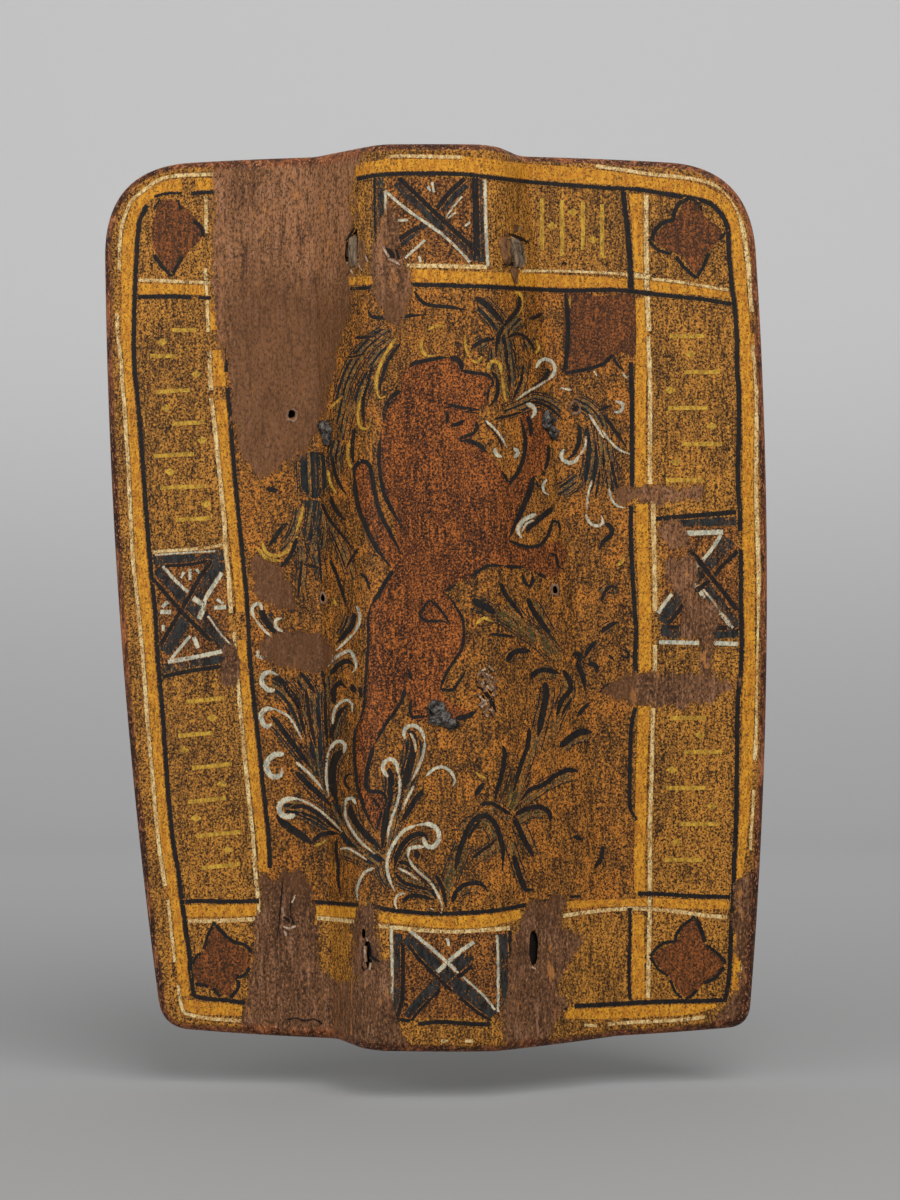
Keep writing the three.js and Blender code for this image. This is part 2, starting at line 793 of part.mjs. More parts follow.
// The shape's first axis becomes Y and its second Z.
stemGeometry.applyMatrix4(
  new THREE.Matrix4().makeBasis(
    new THREE.Vector3(0, 1, 0),
    new THREE.Vector3(0, 0, 1),
    new THREE.Vector3(1, 0, 0),
  ),
);
const stemSolid = [pegCutter, ...nailCutters].reduce(
  (rest, cutter) => rest.subtract(cutter),
  toSolid(stemGeometry),
);
addPiece("handle_stem", toGeometry(stemSolid), colours.oldWood, 0.7);

// The leather sleeve round the stem where the hand closes.
function roundedRectangle(path, width, height, radius) {
  const x = width / 2 - radius;
  const y = height / 2 - radius;
  path.absarc(x, y, radius, 0, Math.PI / 2);
  path.absarc(-x, y, radius, Math.PI / 2, Math.PI);
  path.absarc(-x, -y, radius, Math.PI, 1.5 * Math.PI);
  path.absarc(x, -y, radius, 1.5 * Math.PI, 2 * Math.PI);
  path.closePath();
  return path;
}

const sleeveInner = { width: stem.width + 2 * fit.seat, depth: stem.depth + 2 * fit.seat };
const sleeveShape = roundedRectangle(
  new THREE.Shape(),
  sleeveInner.width + 2 * grip.leather,
  sleeveInner.depth + 2 * grip.leather,
  grip.corner,
);
sleeveShape.holes.push(
  roundedRectangle(new THREE.Path(), sleeveInner.width, sleeveInner.depth, grip.corner - grip.leather),
);
const sleeve = new THREE.ExtrudeGeometry(sleeveShape, {
  depth: 2 * grip.halfLength,
  bevelEnabled: false,
  curveSegments: 5,
});
sleeve.translate(0, 0, -grip.halfLength);
addPiece("grip_sleeve", sleeve, colours.leather, 0.6);

const pegLength = crossbar.depth + peg.proud;
const pegGeometry = new THREE.CylinderGeometry(peg.diameter / 2, peg.diameter / 2, pegLength, 16);
pegGeometry.translate(0, pegLength / 2 - crossbarBack, crossbar.centre);
addPiece("handle_peg", pegGeometry, colours.wood, 0.75);

// Nails: a faceted head behind, a square shank and a point folded down on the painted face

function nailGeometry(place, seatBack) {
  const facePoint = new THREE.Vector3(place.x, depthY(place.x, place.z, depth.face), place.z);
  const normal = faceNormal(place.x, place.z);
  const headBase = seatBack + fit.seat;
  const headGeometry = new THREE.CylinderGeometry(
    nail.shank / 2,
    nail.head / Math.SQRT2,
    nail.headRise,
    4,
  );
  headGeometry.rotateY(Math.PI / 4);
  headGeometry.translate(place.x, headBase + nail.headRise / 2, place.z);

  const shankFront = facePoint.y - nail.clinchThickness / 2 - fit.seat;
  const shankGeometry = new THREE.BoxGeometry(nail.shank, headBase + nail.headRise / 2 - shankFront, nail.shank);
  shankGeometry.translate(place.x, (headBase + nail.headRise / 2 + shankFront) / 2, place.z);

  const down = new THREE.Vector3(Math.sin(place.turn), 0, -Math.cos(place.turn));
  down.addScaledVector(normal, -down.dot(normal)).normalize();
  const across = new THREE.Vector3().crossVectors(normal, down);
  const lift = fit.seat + nail.clinchThickness / 2 + nail.shank / 4;
  const basis = new THREE.Matrix4().makeBasis(across, normal, down);
  basis.setPosition(facePoint.clone().addScaledVector(normal, lift));
  const knuckleGeometry = new THREE.BoxGeometry(nail.clinchWidth, nail.clinchThickness, nail.knuckle);
  knuckleGeometry.applyMatrix4(basis);
  const pointGeometry = new THREE.CylinderGeometry(nail.shank / 3, nail.clinchWidth / Math.SQRT2, nail.clinchLength, 4);
  pointGeometry.rotateY(Math.PI / 4);
  pointGeometry.scale(1, 1, nail.clinchThickness / nail.clinchWidth);
  pointGeometry.rotateX(Math.PI / 2);
  pointGeometry.translate(0, 0, nail.clinchLength / 2 - nail.knuckle / 2);
  pointGeometry.applyMatrix4(basis);
  const joined = toSolid(shankGeometry)
    .add(toSolid(headGeometry))
    .add(toSolid(knuckleGeometry))
    .add(toSolid(pointGeometry));
  return toGeometry(joined);
}

const nailSeats = {
  nail_left: crossbarBack,
  nail_right: crossbarBack,
  nail_foot: wingY - ridge.height + depth.backHide + fit.seat + stem.footDepth,
};
for (const [name, place] of Object.entries(nailPlaces)) {
  addPiece(name, nailGeometry(place, nailSeats[name]), colours.iron, 0.55, 0.8);
}

// Thongs: a strip behind the ridge, doubled where it goes through the slots

function thongShape(place) {
  const legHalf = thong.thickness;
  const shape = new THREE.Shape();
  const ends = [
    { x: place.leftX, proud: place.leftProud },
    { x: place.rightX, proud: place.rightProud },
  ];
  const legs = ends.map((end, index) => {
    const slotEdge = end.x + (index === 0 ? slot.width / 2 : -slot.width / 2);
    const wallBehind = [-thong.width / 2, thong.width / 2].map((up) =>
      depthY(slotEdge, place.z + up, -depth.backHide),
    );
    return {
      x: end.x,
      behind: Math.max(...wallBehind) + thong.room + thong.thickness,
      before: depthY(end.x, place.z, depth.face) - end.proud,
    };
  });
  const [left, right] = legs;
  const round = thong.thickness / 2;
  shape.moveTo(left.x - legHalf, left.behind - round);
  shape.lineTo(left.x - legHalf, left.before + round);
  shape.lineTo(left.x - legHalf + round, left.before);
  shape.lineTo(left.x + legHalf - round, left.before);
  shape.lineTo(left.x + legHalf, left.before + round);
  shape.lineTo(left.x + legHalf, left.behind - thong.thickness);
  shape.lineTo(right.x - legHalf, right.behind - thong.thickness);
  shape.lineTo(right.x - legHalf, right.before + round);
  shape.lineTo(right.x - legHalf + round, right.before);
  shape.lineTo(right.x + legHalf - round, right.before);
  shape.lineTo(right.x + legHalf, right.before + round);
  shape.lineTo(right.x + legHalf, right.behind - round);
  shape.lineTo(right.x + legHalf - round, right.behind);
  shape.lineTo(left.x - legHalf + round, left.behind);
  shape.closePath();
  return shape;
}

for (const [name, place] of Object.entries(thongPlaces)) {
  const geometry = extrusionAlongZ(thongShape(place), thong.width, 0);
  geometry.translate(0, 0, place.z);
  addPiece(name, geometry, colours.rawhide, 0.7);
}

export default pavise;
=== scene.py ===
"""Looks of a small hand pavise: the painted face, hide, wooden core, handle, irons and thongs.

Places on the face are given in pixels of the 900 by 1200 photograph and laid on the curved face.
Other lengths are in millimetres until a mesh is written, and every mesh is in metres.
"""
import math

import bmesh
import bpy
import numpy as np
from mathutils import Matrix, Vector, noise


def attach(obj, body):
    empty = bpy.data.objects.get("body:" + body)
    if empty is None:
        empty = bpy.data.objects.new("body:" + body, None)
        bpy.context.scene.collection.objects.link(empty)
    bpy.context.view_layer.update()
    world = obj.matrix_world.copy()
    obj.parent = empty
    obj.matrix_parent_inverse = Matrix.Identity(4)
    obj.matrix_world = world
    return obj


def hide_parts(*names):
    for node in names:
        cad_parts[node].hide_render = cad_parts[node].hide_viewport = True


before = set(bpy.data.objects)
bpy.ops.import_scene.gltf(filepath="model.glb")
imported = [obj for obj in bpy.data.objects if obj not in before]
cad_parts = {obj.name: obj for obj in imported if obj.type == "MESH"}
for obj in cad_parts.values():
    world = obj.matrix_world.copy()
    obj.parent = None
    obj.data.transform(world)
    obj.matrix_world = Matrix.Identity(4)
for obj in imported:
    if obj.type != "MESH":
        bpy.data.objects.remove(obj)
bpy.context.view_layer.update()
bpy.ops.object.select_all(action="DESELECT")
MM = 0.001

# The wall: a wooden core between two hides, with the paint in front
FACE = 7.5
HIDE_OUTER = 6.4
BACK = 6.2
TURNOVER = 16.0
WING_Y = -15.5
SWEEP = 16.0
REACH = 209.0
TOP = 228.8
LOWEST = 304.0
RIDGE_HEIGHT = 40.0
BASE_RADIUS = 14.0
CREST_RADIUS = 18.0
STEEPEST = math.radians(68)
LEFT_BASE = (-80.0, -68.0)
LEFT_CREST = (-26.0, -28.0)
RIGHT_CREST = (20.0, 30.0)
RIGHT_BASE = (58.0, 114.0)

# The camera: level, in front of the face, and the plane that the scale holds for
CAMERA = (8.0, -1607.0, -40.0)
MIDDLE_PIXEL = (450.0, 600.0)
MM_PER_PIXEL = 0.615
SCALE_PLANE_Y = -7.0
PIXELS_PER_UNIT_SLOPE = (SCALE_PLANE_Y - CAMERA[1]) / MM_PER_PIXEL
IMAGE_HEIGHT = 1200
SENSOR = 36.0

# How often a point on a surface is corrected until it settles
FOOT_ROUNDS = 24
SIGHT_ROUNDS = 8


def line_at(line, z):
    return line[0] + (line[1] - line[0]) * (TOP - z) / (TOP + LOWEST)


def flank_rise(along, width):
    """How far the ridge rises at a distance along a flank: a hollow round, a slope and a full round."""
    room = (width - RIDGE_HEIGHT / math.tan(STEEPEST)) / math.tan(STEEPEST / 2)
    both = np.minimum(BASE_RADIUS + CREST_RADIUS, room)
    share = both / (BASE_RADIUS + CREST_RADIUS)
    squared = width ** 2 - RIDGE_HEIGHT * (2 * both - RIDGE_HEIGHT)
    angle = 2 * np.arctan(RIDGE_HEIGHT / (width + np.sqrt(squared)))
    base = BASE_RADIUS * share
    crest = CREST_RADIUS * share
    left = width - along
    low = base - np.sqrt(np.maximum(base ** 2 - along ** 2, 0))
    high = RIDGE_HEIGHT - crest + np.sqrt(np.maximum(crest ** 2 - left ** 2, 0))
    slope = base * (1 - np.cos(angle)) + (along - base * np.sin(angle)) * np.tan(angle)
    rise = np.where(left < crest * np.sin(angle), high, slope)
    rise = np.where(along < base * np.sin(angle), low, rise)
    return np.where(along <= 0, 0, np.where(left <= 0, RIDGE_HEIGHT, rise))


def middle_y(x, z):
    """The wall's middle surface: two swept wings with the ridge between them."""
    left_base = line_at(LEFT_BASE, z)
    right_base = line_at(RIGHT_BASE, z)
    from_left = flank_rise(x - left_base, line_at(LEFT_CREST, z) - left_base)
    from_right = flank_rise(right_base - x, right_base - line_at(RIGHT_CREST, z))
    return WING_Y + SWEEP * (x / REACH) ** 2 - np.minimum(from_left, from_right)


def outward(x, z, probe=0.05):
    across = (middle_y(x + probe, z) - middle_y(x - probe, z)) / (2 * probe)
    up = (middle_y(x, z + probe) - middle_y(x, z - probe)) / (2 * probe)
    direction = np.stack([across, -np.ones_like(across), up], axis=-1)
    return direction / np.linalg.norm(direction, axis=-1, keepdims=True)


def at_depth(x, z, depth):
    """Points over the feet x, z on the middle surface, at a depth towards the face."""
    depth = np.broadcast_to(depth, x.shape)
    return np.stack([x, middle_y(x, z), z], axis=-1) + outward(x, z) * depth[..., None]


def foot_below(x, z, depth):
    """The feet whose points at a depth are seen at x, z."""
    foot_x, foot_z = x.copy(), z.copy()
    for _ in range(FOOT_ROUNDS):
        point = at_depth(foot_x, foot_z, depth)
        foot_x += (x - point[..., 0]) / 2
        foot_z += (z - point[..., 2]) / 2
    return foot_x, foot_z


def on_face(px, py, lift=0.0):
    """Points on the painted face where the camera sees the pixels px, py."""
    px, py = np.asarray(px, float), np.asarray(py, float)
    y = np.full(px.shape, SCALE_PLANE_Y)
    for _ in range(SIGHT_ROUNDS):
        away = (y - CAMERA[1]) / PIXELS_PER_UNIT_SLOPE
        x = CAMERA[0] + (px - MIDDLE_PIXEL[0]) * away
        z = CAMERA[2] - (py - MIDDLE_PIXEL[1]) * away
        foot_x, foot_z = foot_below(x, z, FACE)
        y = at_depth(foot_x, foot_z, FACE)[..., 1]
    return at_depth(foot_x, foot_z, FACE + relief(x, z) + lift)


def pixels_of(points):
    """The photograph's pixels where the camera sees the points."""
    away = (points[..., 1] - CAMERA[1]) / PIXELS_PER_UNIT_SLOPE
    px = MIDDLE_PIXEL[0] + (points[..., 0] - CAMERA[0]) / away
    py = MIDDLE_PIXEL[1] - (points[..., 2] - CAMERA[2]) / away
    return px, py


def smooth_curve(points, step=3.0, closed=False):
    """A Catmull-Rom curve through points of any width, sampled about every step."""
    points = np.asarray(points, float)
    if closed:
        padded = np.vstack([points[-1], points, points[0], points[1]])
    else:
        padded = np.vstack([2 * points[0] - points[1], points, 2 * points[-1] - points[-2]])
    samples = []
    for before, start, end, after in zip(padded, padded[1:], padded[2:], padded[3:]):
        count = max(1, int(np.linalg.norm((end - start)[:2]) / step))
        for share in np.arange(count) / count:
            samples.append(0.5 * (
                2 * start + (end - before) * share
                + (2 * before - 5 * start + 4 * end - after) * share ** 2
                + (3 * start - before - 3 * end + after) * share ** 3
            ))
    if not closed:
        samples.append(points[-1])
    return np.array(samples)


def inside_by(px, py, shape):
    """How far pixels lie inside a closed shape: negative outside."""
    nearest = np.full(px.shape, 1e9)
    inside = np.zeros(px.shape, bool)
    for (ax, ay), (bx, by) in zip(shape, np.roll(shape, -1, axis=0)):
        dx, dy = bx - ax, by - ay
        share = np.clip(((px - ax) * dx + (py - ay) * dy) / max(dx * dx + dy * dy, 1e-9), 0, 1)
        nearest = np.minimum(nearest, np.hypot(px - ax - share * dx, py - ay - share * dy))
        if ay != by:
            crosses = (ay > py) != (by > py)
            inside ^= crosses & (px < dx * (py - ay) / (by - ay) + ax)
    return np.where(inside, nearest, -nearest)


# Places where the paint has gone, down to the hide
LOSSES = """
222,140 352,140 356,180 350,235 352,290 338,345 326,400 306,446 262,476 236,440 230,380 216,330 210,270 \
212,215 217,180
262,872 276,880 290,868 312,890 318,930 322,972 356,980 384,960 392,1000 404,1036 430,1080 240,1080 \
246,1000 256,930
358,905 371,905 378,930 372,980 356,978 352,930
514,930 534,902 566,900 562,925 585,940 556,985 566,1003 556,1024 520,1070 500,1030 508,980
735,884 744,874 790,880 780,1070 700,1070 722,1004 738,992 736,940
618,490 650,487 700,489 700,497 655,503 620,502
606,690 640,672 700,674 742,684 700,704 640,706
660,522 684,524 690,546 676,548 662,540
668,562 690,560 698,582 692,600 674,592
690,594 712,600 722,622 712,645 712,690 700,690 696,640 682,634
390,196 372,262 376,300 396,330 410,300 408,262 398,236
236,640 240,672 236,690 222,684 224,650
262,640 300,632 334,650 318,672 276,664
252,560 284,572 296,610 262,600
"""


def read_shapes(text, step=8):
    """Closed shapes, one a line, as pixel places."""
    rows = [line.split() for line in text.strip().splitlines()]
    shapes = [[tuple(map(float, place.split(","))) for place in row] for row in rows]
    return [smooth_curve(shape, step, closed=True) for shape in shapes]


LOSS_SHAPES = read_shapes(LOSSES)

# The beast's body, hind parts and tail
BEAST_SHAPES = read_shapes("""
402,372 410,364 424,361 440,358 454,358 461,365 463,372 488,376 493,382 488,390 488,404 478,410 477,424 \
470,438 486,450 500,468 509,484 518,472 524,455 524,436 520,417 530,410 546,412 552,430 549,446 544,470 \
534,477 530,490 520,516 510,538 524,546 540,548 556,540 566,552 562,572 545,578 524,567 505,566 488,566 \
470,577 446,590 456,606 463,620 464,634 460,652 448,672 440,690 458,706 474,712 456,718 440,724 412,718 \
408,704 404,692 394,714 374,746 367,766 367,790 382,794 388,804 380,832 366,812 357,786 354,750 356,728 \
364,704 367,660 368,620 374,600 392,570 380,552 364,524 356,500 354,474 362,462 370,468 374,490 384,520 \
396,545 392,515 384,494 379,470 380,438 384,412 392,397 400,390
""", 6)
# The middle field inside the border
FIELD_SHAPE = read_shapes(
    "226,300 330,286 480,288 632,294 634,500 636,700 630,900 480,908 370,904 268,890 262,800 246,640", 12)
# The filled quatrefoils, and the patch above the beast's forelegs
LEAF_SHAPES = read_shapes("""
152,232 160,202 178,202 200,224 202,238 190,250 172,272 156,254
686,201 700,206 704,216 722,230 718,242 706,254 696,274 680,256 654,242 664,226 675,218
215,925 226,938 250,954 248,968 236,978 230,996 214,990 196,982 194,962 204,950
695,919 704,944 724,964 706,982 686,997 670,978 653,957 668,946 677,940 684,926
566,297 600,296 637,298 637,346 634,358 624,352 613,356 604,363 592,368 578,371 567,372
""", 5)
# The redder ground in the crossed bars' boxes
BOX_SHAPES = [np.array(corners, float) for corners in (
    [(386, 178), (482, 178), (486, 264), (386, 262)], [(154, 556), (224, 552), (231, 660), (162, 668)],
    [(662, 522), (737, 518), (738, 636), (662, 636)], [(392, 932), (508, 932), (514, 1018), (394, 1018)])]


def inside_any(px, py, shapes, margin=40.0):
    """How far pixels lie inside the nearest shape, counted no further out than the margin."""
    best = np.full(px.shape, -margin)
    for shape in shapes:
        low, high = shape.min(axis=0) - margin, shape.max(axis=0) + margin
        near = (px > low[0]) & (px < high[0]) & (py > low[1]) & (py < high[1])
        if near.any():
            best[near] = np.maximum(best[near], inside_by(px[near], py[near], shape))
    return best


def relief(x, z):
    """How far the face lies above or below its even surface."""
    uneven = 0.35 * np.sin(x / 31 + 1.3) * np.sin(z / 47 + 0.4) + 0.22 * np.sin(x / 13 + z / 90 + 2.1)
    return uneven + 0.1 * np.sin(x / 4.3 + 2 * np.sin(z / 61)) - 0.3


# The outline: its corners' places and reaches, and how far each side bulges
CORNERS = {"bottom_left": (-170, -304, 18), "bottom_right": (193, -303.5, 14), "top_right": (197, TOP, 55),
           "top_left": (-209, TOP, 58)}
BULGES = (5.5, 8.6, 3, 7)


def bezier(curve, share):
    start, control, end = curve
    share = np.asarray(share)[:, None]
    return (1 - share) ** 2 * start + 2 * share * (1 - share) * control + share ** 2 * end


def outline_curves():
    """The outline's four bulging sides and the four rounds between them."""
    places = [np.array(corner[:2], float) for corner in CORNERS.values()]
    reaches = [corner[2] for corner in CORNERS.values()]
    sides = []
    for index, bulge in enumerate(BULGES):
        start, end = places[index], places[(index + 1) % 4]
        along = (end - start) / np.linalg.norm(end - start)
        start = start + along * reaches[index]
        end = end - along * reaches[(index + 1) % 4]
        out = np.array([along[1], -along[0]])
        sides.append((start, (start + end) / 2 + out * 2 * bulge, end))
    rounds = []
    for index, side in enumerate(sides):
        after = sides[(index + 1) % 4]
        heading = (side[2] - side[1]) / np.linalg.norm(side[2] - side[1])
        leaving = (after[1] - after[0]) / np.linalg.norm(after[1] - after[0])
        gap = after[0] - side[2]
        turning = heading[0] * leaving[1] - heading[1] * leaving[0]
        reach = (gap[0] * leaving[1] - gap[1] * leaving[0]) / turning
        rounds.append((side[2], side[2] + heading * reach, after[0]))
    return sides, rounds


def outline_edges(columns, rows):
    """The four edges of a grid over the outline: points and outward directions, evenly apart."""
    sides, rounds = outline_curves()
    edges = []
    for index, count in enumerate((columns, rows, columns, rows)):
        before, after = rounds[(index + 3) % 4], rounds[index]
        points = np.vstack([
            bezier(before, np.linspace(0.5, 1, 30)[:-1]),
            bezier(sides[index], np.linspace(0, 1, 200)),
            bezier(after, np.linspace(0, 0.5, 30)[1:]),
        ])
        length = np.concatenate([[0], np.cumsum(np.linalg.norm(np.diff(points, axis=0), axis=1))])
        places = np.linspace(0, length[-1], count + 1)
        tangent = np.gradient(points, length, axis=0)
        edge = np.stack([np.interp(places, length, points[:, k]) for k in (0, 1)], axis=1)
        heading = np.stack([np.interp(places, length, tangent[:, k]) for k in (0, 1)], axis=1)
        out = np.stack([heading[:, 1], -heading[:, 0]], axis=1)
        edges.append((edge, out / np.linalg.norm(out, axis=1, keepdims=True)))
    bottom, right, top, left = edges
    return bottom, right, (top[0][::-1], top[1][::-1]), (left[0][::-1], left[1][::-1])


def sheet_feet(columns, rows, inset):
    """Feet of a grid over the outline, moved in from its edge, row by row from the bottom."""
    bottom, right, top, left = [edge - out * inset for edge, out in outline_edges(columns, rows)]
    across = np.linspace(0, 1, columns + 1)[None, :, None]
    up = ((left[:, 1] - left[0, 1]) / (left[-1, 1] - left[0, 1]))[:, None, None]
    grid = bottom[None] * (1 - up) + top[None] * up
    left_chord = bottom[0] * (1 - up[:, 0]) + top[0] * up[:, 0]
    right_chord = bottom[-1] * (1 - up[:, 0]) + top[-1] * up[:, 0]
    grid = grid + (left - left_chord)[:, None] * (1 - across) ** 9
    return grid + (right - right_chord)[:, None] * across ** 9


def finish_piece(piece, slot, *nodes):
    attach(piece, "root")
    if nodes:
        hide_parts(*nodes)


def apply_modifier(piece, kind, **settings):
    modifier = piece.modifiers.new(kind.lower(), kind)
    for name, value in settings.items():
        setattr(modifier, name, value)
    bpy.context.view_layer.objects.active = piece
    bpy.ops.object.modifier_apply(modifier=modifier.name)


def grid_piece(name, points):
    """A sheet whose grid of points is given in rows, facing away from the staves."""
    rows, columns = points.shape[:2]
    bpy.ops.mesh.primitive_grid_add(x_subdivisions=columns - 1, y_subdivisions=rows - 1, size=2)
    piece = bpy.context.object
    piece.name = name
    piece.data.name = name
    piece.data.vertices.foreach_set("co", (points.reshape(-1, 3) * MM).ravel())
    piece.data.update()
    return piece


def rim_rings(radius, first, last, steps):
    """Insets from the outline and depths of an arc round the rim."""
    angles = np.radians(np.linspace(first, last, steps + 1))
    return FACE - radius * np.cos(angles), radius * np.sin(angles)


def wrap_rim(piece, columns, rows, insets, depths):
    """Extrudes the sheet's edge, ring by ring, round the rim."""
    edges = outline_edges(columns, rows)
    bottom, right, top, left = edges
    loop = [np.vstack([bottom[k][:-1], right[k][:-1], top[k][::-1][:-1], left[k][::-1][:-1]]) for k in (0, 1)]
    mesh = bmesh.new()
    mesh.from_mesh(piece.data)
    mesh.verts.ensure_lookup_table()
    wide = columns + 1
    numbers = list(range(0, columns)) + [columns + wide * row for row in range(rows)]
    numbers += [rows * wide + column for column in range(columns, 0, -1)]
    numbers += [wide * row for row in range(rows, 0, -1)]
    before = [mesh.verts[number] for number in numbers]
    for inset, depth in zip(insets, depths):
        feet = loop[0] - loop[1] * inset
        points = at_depth(feet[:, 0], feet[:, 1], depth) * MM
        here = [mesh.verts.new(point) for point in points]
        for index, vertex in enumerate(before):
            after = (index + 1) % len(before)
            mesh.faces.new((vertex, here[index], here[after], before[after]))
        before = here
    mesh.to_mesh(piece.data)
    mesh.free()


def face_points(piece):
    points = np.empty(len(piece.data.vertices) * 3)
    piece.data.vertices.foreach_get("co", points)
    return points.reshape(-1, 3) / MM


def add_attribute(piece, name, values):
    attribute = piece.data.attributes.new(name, "FLOAT", "POINT")
    attribute.data.foreach_set("value", np.asarray(values, np.float32))


def outline_loop():
    sides, rounds = outline_curves()
    shares = np.linspace(0, 1, 15)[:-1]
    return np.vstack([bezier(curve, shares) for pair in zip(sides, rounds) for curve in pair])


AREAS = {
    "bare": LOSS_SHAPES, "beast": BEAST_SHAPES, "leaf": LEAF_SHAPES, "field": FIELD_SHAPE, "box": BOX_SHAPES,
}


def mark_places(piece):
    """Keeps on each point how far it is inside each marked area and from the rim, in millimetres."""
    points = face_points(piece)
    px, py = pixels_of(points)
    for name, shapes in AREAS.items():
        add_attribute(piece, name, MM_PER_PIXEL * inside_any(px, py, shapes))
    add_attribute(piece, "from_rim", inside_by(points[:, 0], points[:, 2], outline_loop()))


# Materials

def new_group(name, inputs, outputs):
    group = bpy.data.node_groups.new(name, "ShaderNodeTree")
    for title, kind, default in inputs:
        socket = group.interface.new_socket(title, in_out="INPUT", socket_type=kind)
        socket.default_value = default
    for title, kind in outputs:
        group.interface.new_socket(title, in_out="OUTPUT", socket_type=kind)
    return group


class Nodes:
    """Short ways to add nodes to a tree and join them."""

    def __init__(self, tree):
        self.tree = tree

    def add(self, kind, **settings):
        node = self.tree.nodes.new("ShaderNode" + kind)
        for name, value in settings.items():
            setattr(node, name, value)
        return node

    def join(self, source, target):
        self.tree.links.new(source, target)

    def feed(self, socket, value):
        """Joins a socket or sets a number, or a colour given as three values from 0 to 255."""
        if isinstance(value, bpy.types.NodeSocket):
            self.join(value, socket)
        elif isinstance(value, tuple):
            socket.default_value = colour(*value)
        else:
            socket.default_value = value

    def attribute(self, name):
        return self.add("Attribute", attribute_name=name).outputs["Fac"]

    def place_along(self, axis):
        split = self.add("SeparateXYZ")
        self.join(self.add("TexCoord").outputs["Object"], split.inputs[0])
        return split.outputs[axis]

    def place(self, scale=(1, 1, 1)):
        mapping = self.add("Mapping")
        mapping.inputs["Scale"].default_value = scale
        self.join(self.add("TexCoord").outputs["Object"], mapping.inputs["Vector"])
        return mapping.outputs["Vector"]

    def noise(self, scale, stretch=(1, 1, 1), detail=3.0, rough=0.55, distortion=0.0):
        node = self.add("TexNoise")
        self.join(self.place(stretch), node.inputs["Vector"])
        node.inputs["Scale"].default_value = scale
        node.inputs["Detail"].default_value = detail
        node.inputs["Roughness"].default_value = rough
        node.inputs["Distortion"].default_value = distortion
        return node.outputs["Fac"]

    def step(self, value, low, high, to_low=0.0, to_high=1.0):
        node = self.add("MapRange", interpolation_type="SMOOTHSTEP")
        self.feed(node.inputs["Value"], value)
        limits = {"From Min": low, "From Max": high, "To Min": to_low, "To Max": to_high}
        for name, number in limits.items():
            self.feed(node.inputs[name], number)
        return node.outputs["Result"]

    def math(self, operation, first, second=0.0):
        node = self.add("Math", operation=operation)
        self.feed(node.inputs[0], first)
        self.feed(node.inputs[1], second)
        return node.outputs["Value"]

    def mix(self, share, first, second, blend="MIX"):
        node = self.add("Mix", data_type="RGBA", blend_type=blend)
        self.feed(node.inputs[0], share)
        self.feed(node.inputs[6], first)
        self.feed(node.inputs[7], second)
        return node.outputs[2]


def colour(red, green, blue):
    """A colour written as it looks on a screen, from 0 to 255."""
    def linear(value):
        value /= 255
        return value / 12.92 if value <= 0.04045 else ((value + 0.055) / 1.055) ** 2.4
    return (linear(red), linear(green), linear(blue), 1.0)


def bare_hide_group():
    """Dull brown hide, streaked along its grain, pinkish where it was scraped, dark in streaks and specks
    where it took dirt, and darker towards the bottom.
    """
    group = new_group("bare_hide", [], [("Colour", "NodeSocketColor"), ("Height", "NodeSocketFloat")])
    n = Nodes(group)
    out = group.nodes.new("NodeGroupOutput")
    streaks = n.noise(420, (1, 1, 0.13), 5, 0.6, 0.4)
    patches = n.noise(24, (1, 1, 0.5), 5, 0.6, 0.6)
    speckle = n.noise(820, (1, 1, 0.6), 4, 0.75)
    down = n.step(n.place_along("Z"), 0.12, -0.12)
    field = n.step(n.math("ADD", n.attribute("field"), n.math("MULTIPLY", patches, 30)), 0, 34, 0, 0.6)
    base = n.mix(n.step(patches, 0.38, 0.62), (110, 72, 42), (152, 103, 66))
    # Darker towards the bottom of the shield
    base = n.mix(down, base, n.mix(0.6, base, (84, 56, 36)))
    base = n.mix(n.step(streaks, 0.52, 0.66, 0, 0.5), base, (176, 128, 98))
    base = n.mix(n.step(streaks, 0.46, 0.36, 0, 0.65), base, (62, 38, 24))
    base = n.mix(n.step(speckle, 0.52, 0.57, 0, 0.8), base, (42, 26, 16))
    base = n.mix(n.step(speckle, 0.43, 0.38, 0, 0.6), base, (192, 134, 90))
    flecks = n.noise(110, (1, 1, 0.4), 5, 0.75)
    base = n.mix(n.step(flecks, 0.6, 0.66, 0, 0.6), base, (198, 130, 66))
    base = n.mix(field, base, (98, 62, 34))
    rim = n.step(n.math("ADD", n.attribute("from_rim"), n.math("MULTIPLY", patches, -6)), 5.5, 0.5)
    edge_look = n.mix(n.step(patches, 0.42, 0.58), (58, 24, 12), (134, 74, 40))
    edge_look = n.mix(n.step(flecks, 0.52, 0.58, 0, 0.8), edge_look, (172, 104, 58))
    edge_look = n.mix(n.step(flecks, 0.47, 0.41, 0, 0.85), edge_look, (40, 18, 11))
    edge_look = n.mix(n.step(speckle, 0.44, 0.38), edge_look, (206, 140, 96))
    edge_look = n.mix(n.step(speckle, 0.54, 0.6, 0, 0.8), edge_look, (34, 17, 10))
    edge_look = n.mix(n.step(streaks, 0.52, 0.6, 0, 0.8), edge_look, (44, 21, 12))
    base = n.mix(n.math("MULTIPLY", rim, 0.92), base, edge_look)
    n.join(base, out.inputs["Colour"])
    n.join(n.math("ADD", streaks, n.math("MULTIPLY", speckle, 0.5)), out.inputs["Height"])
    return group


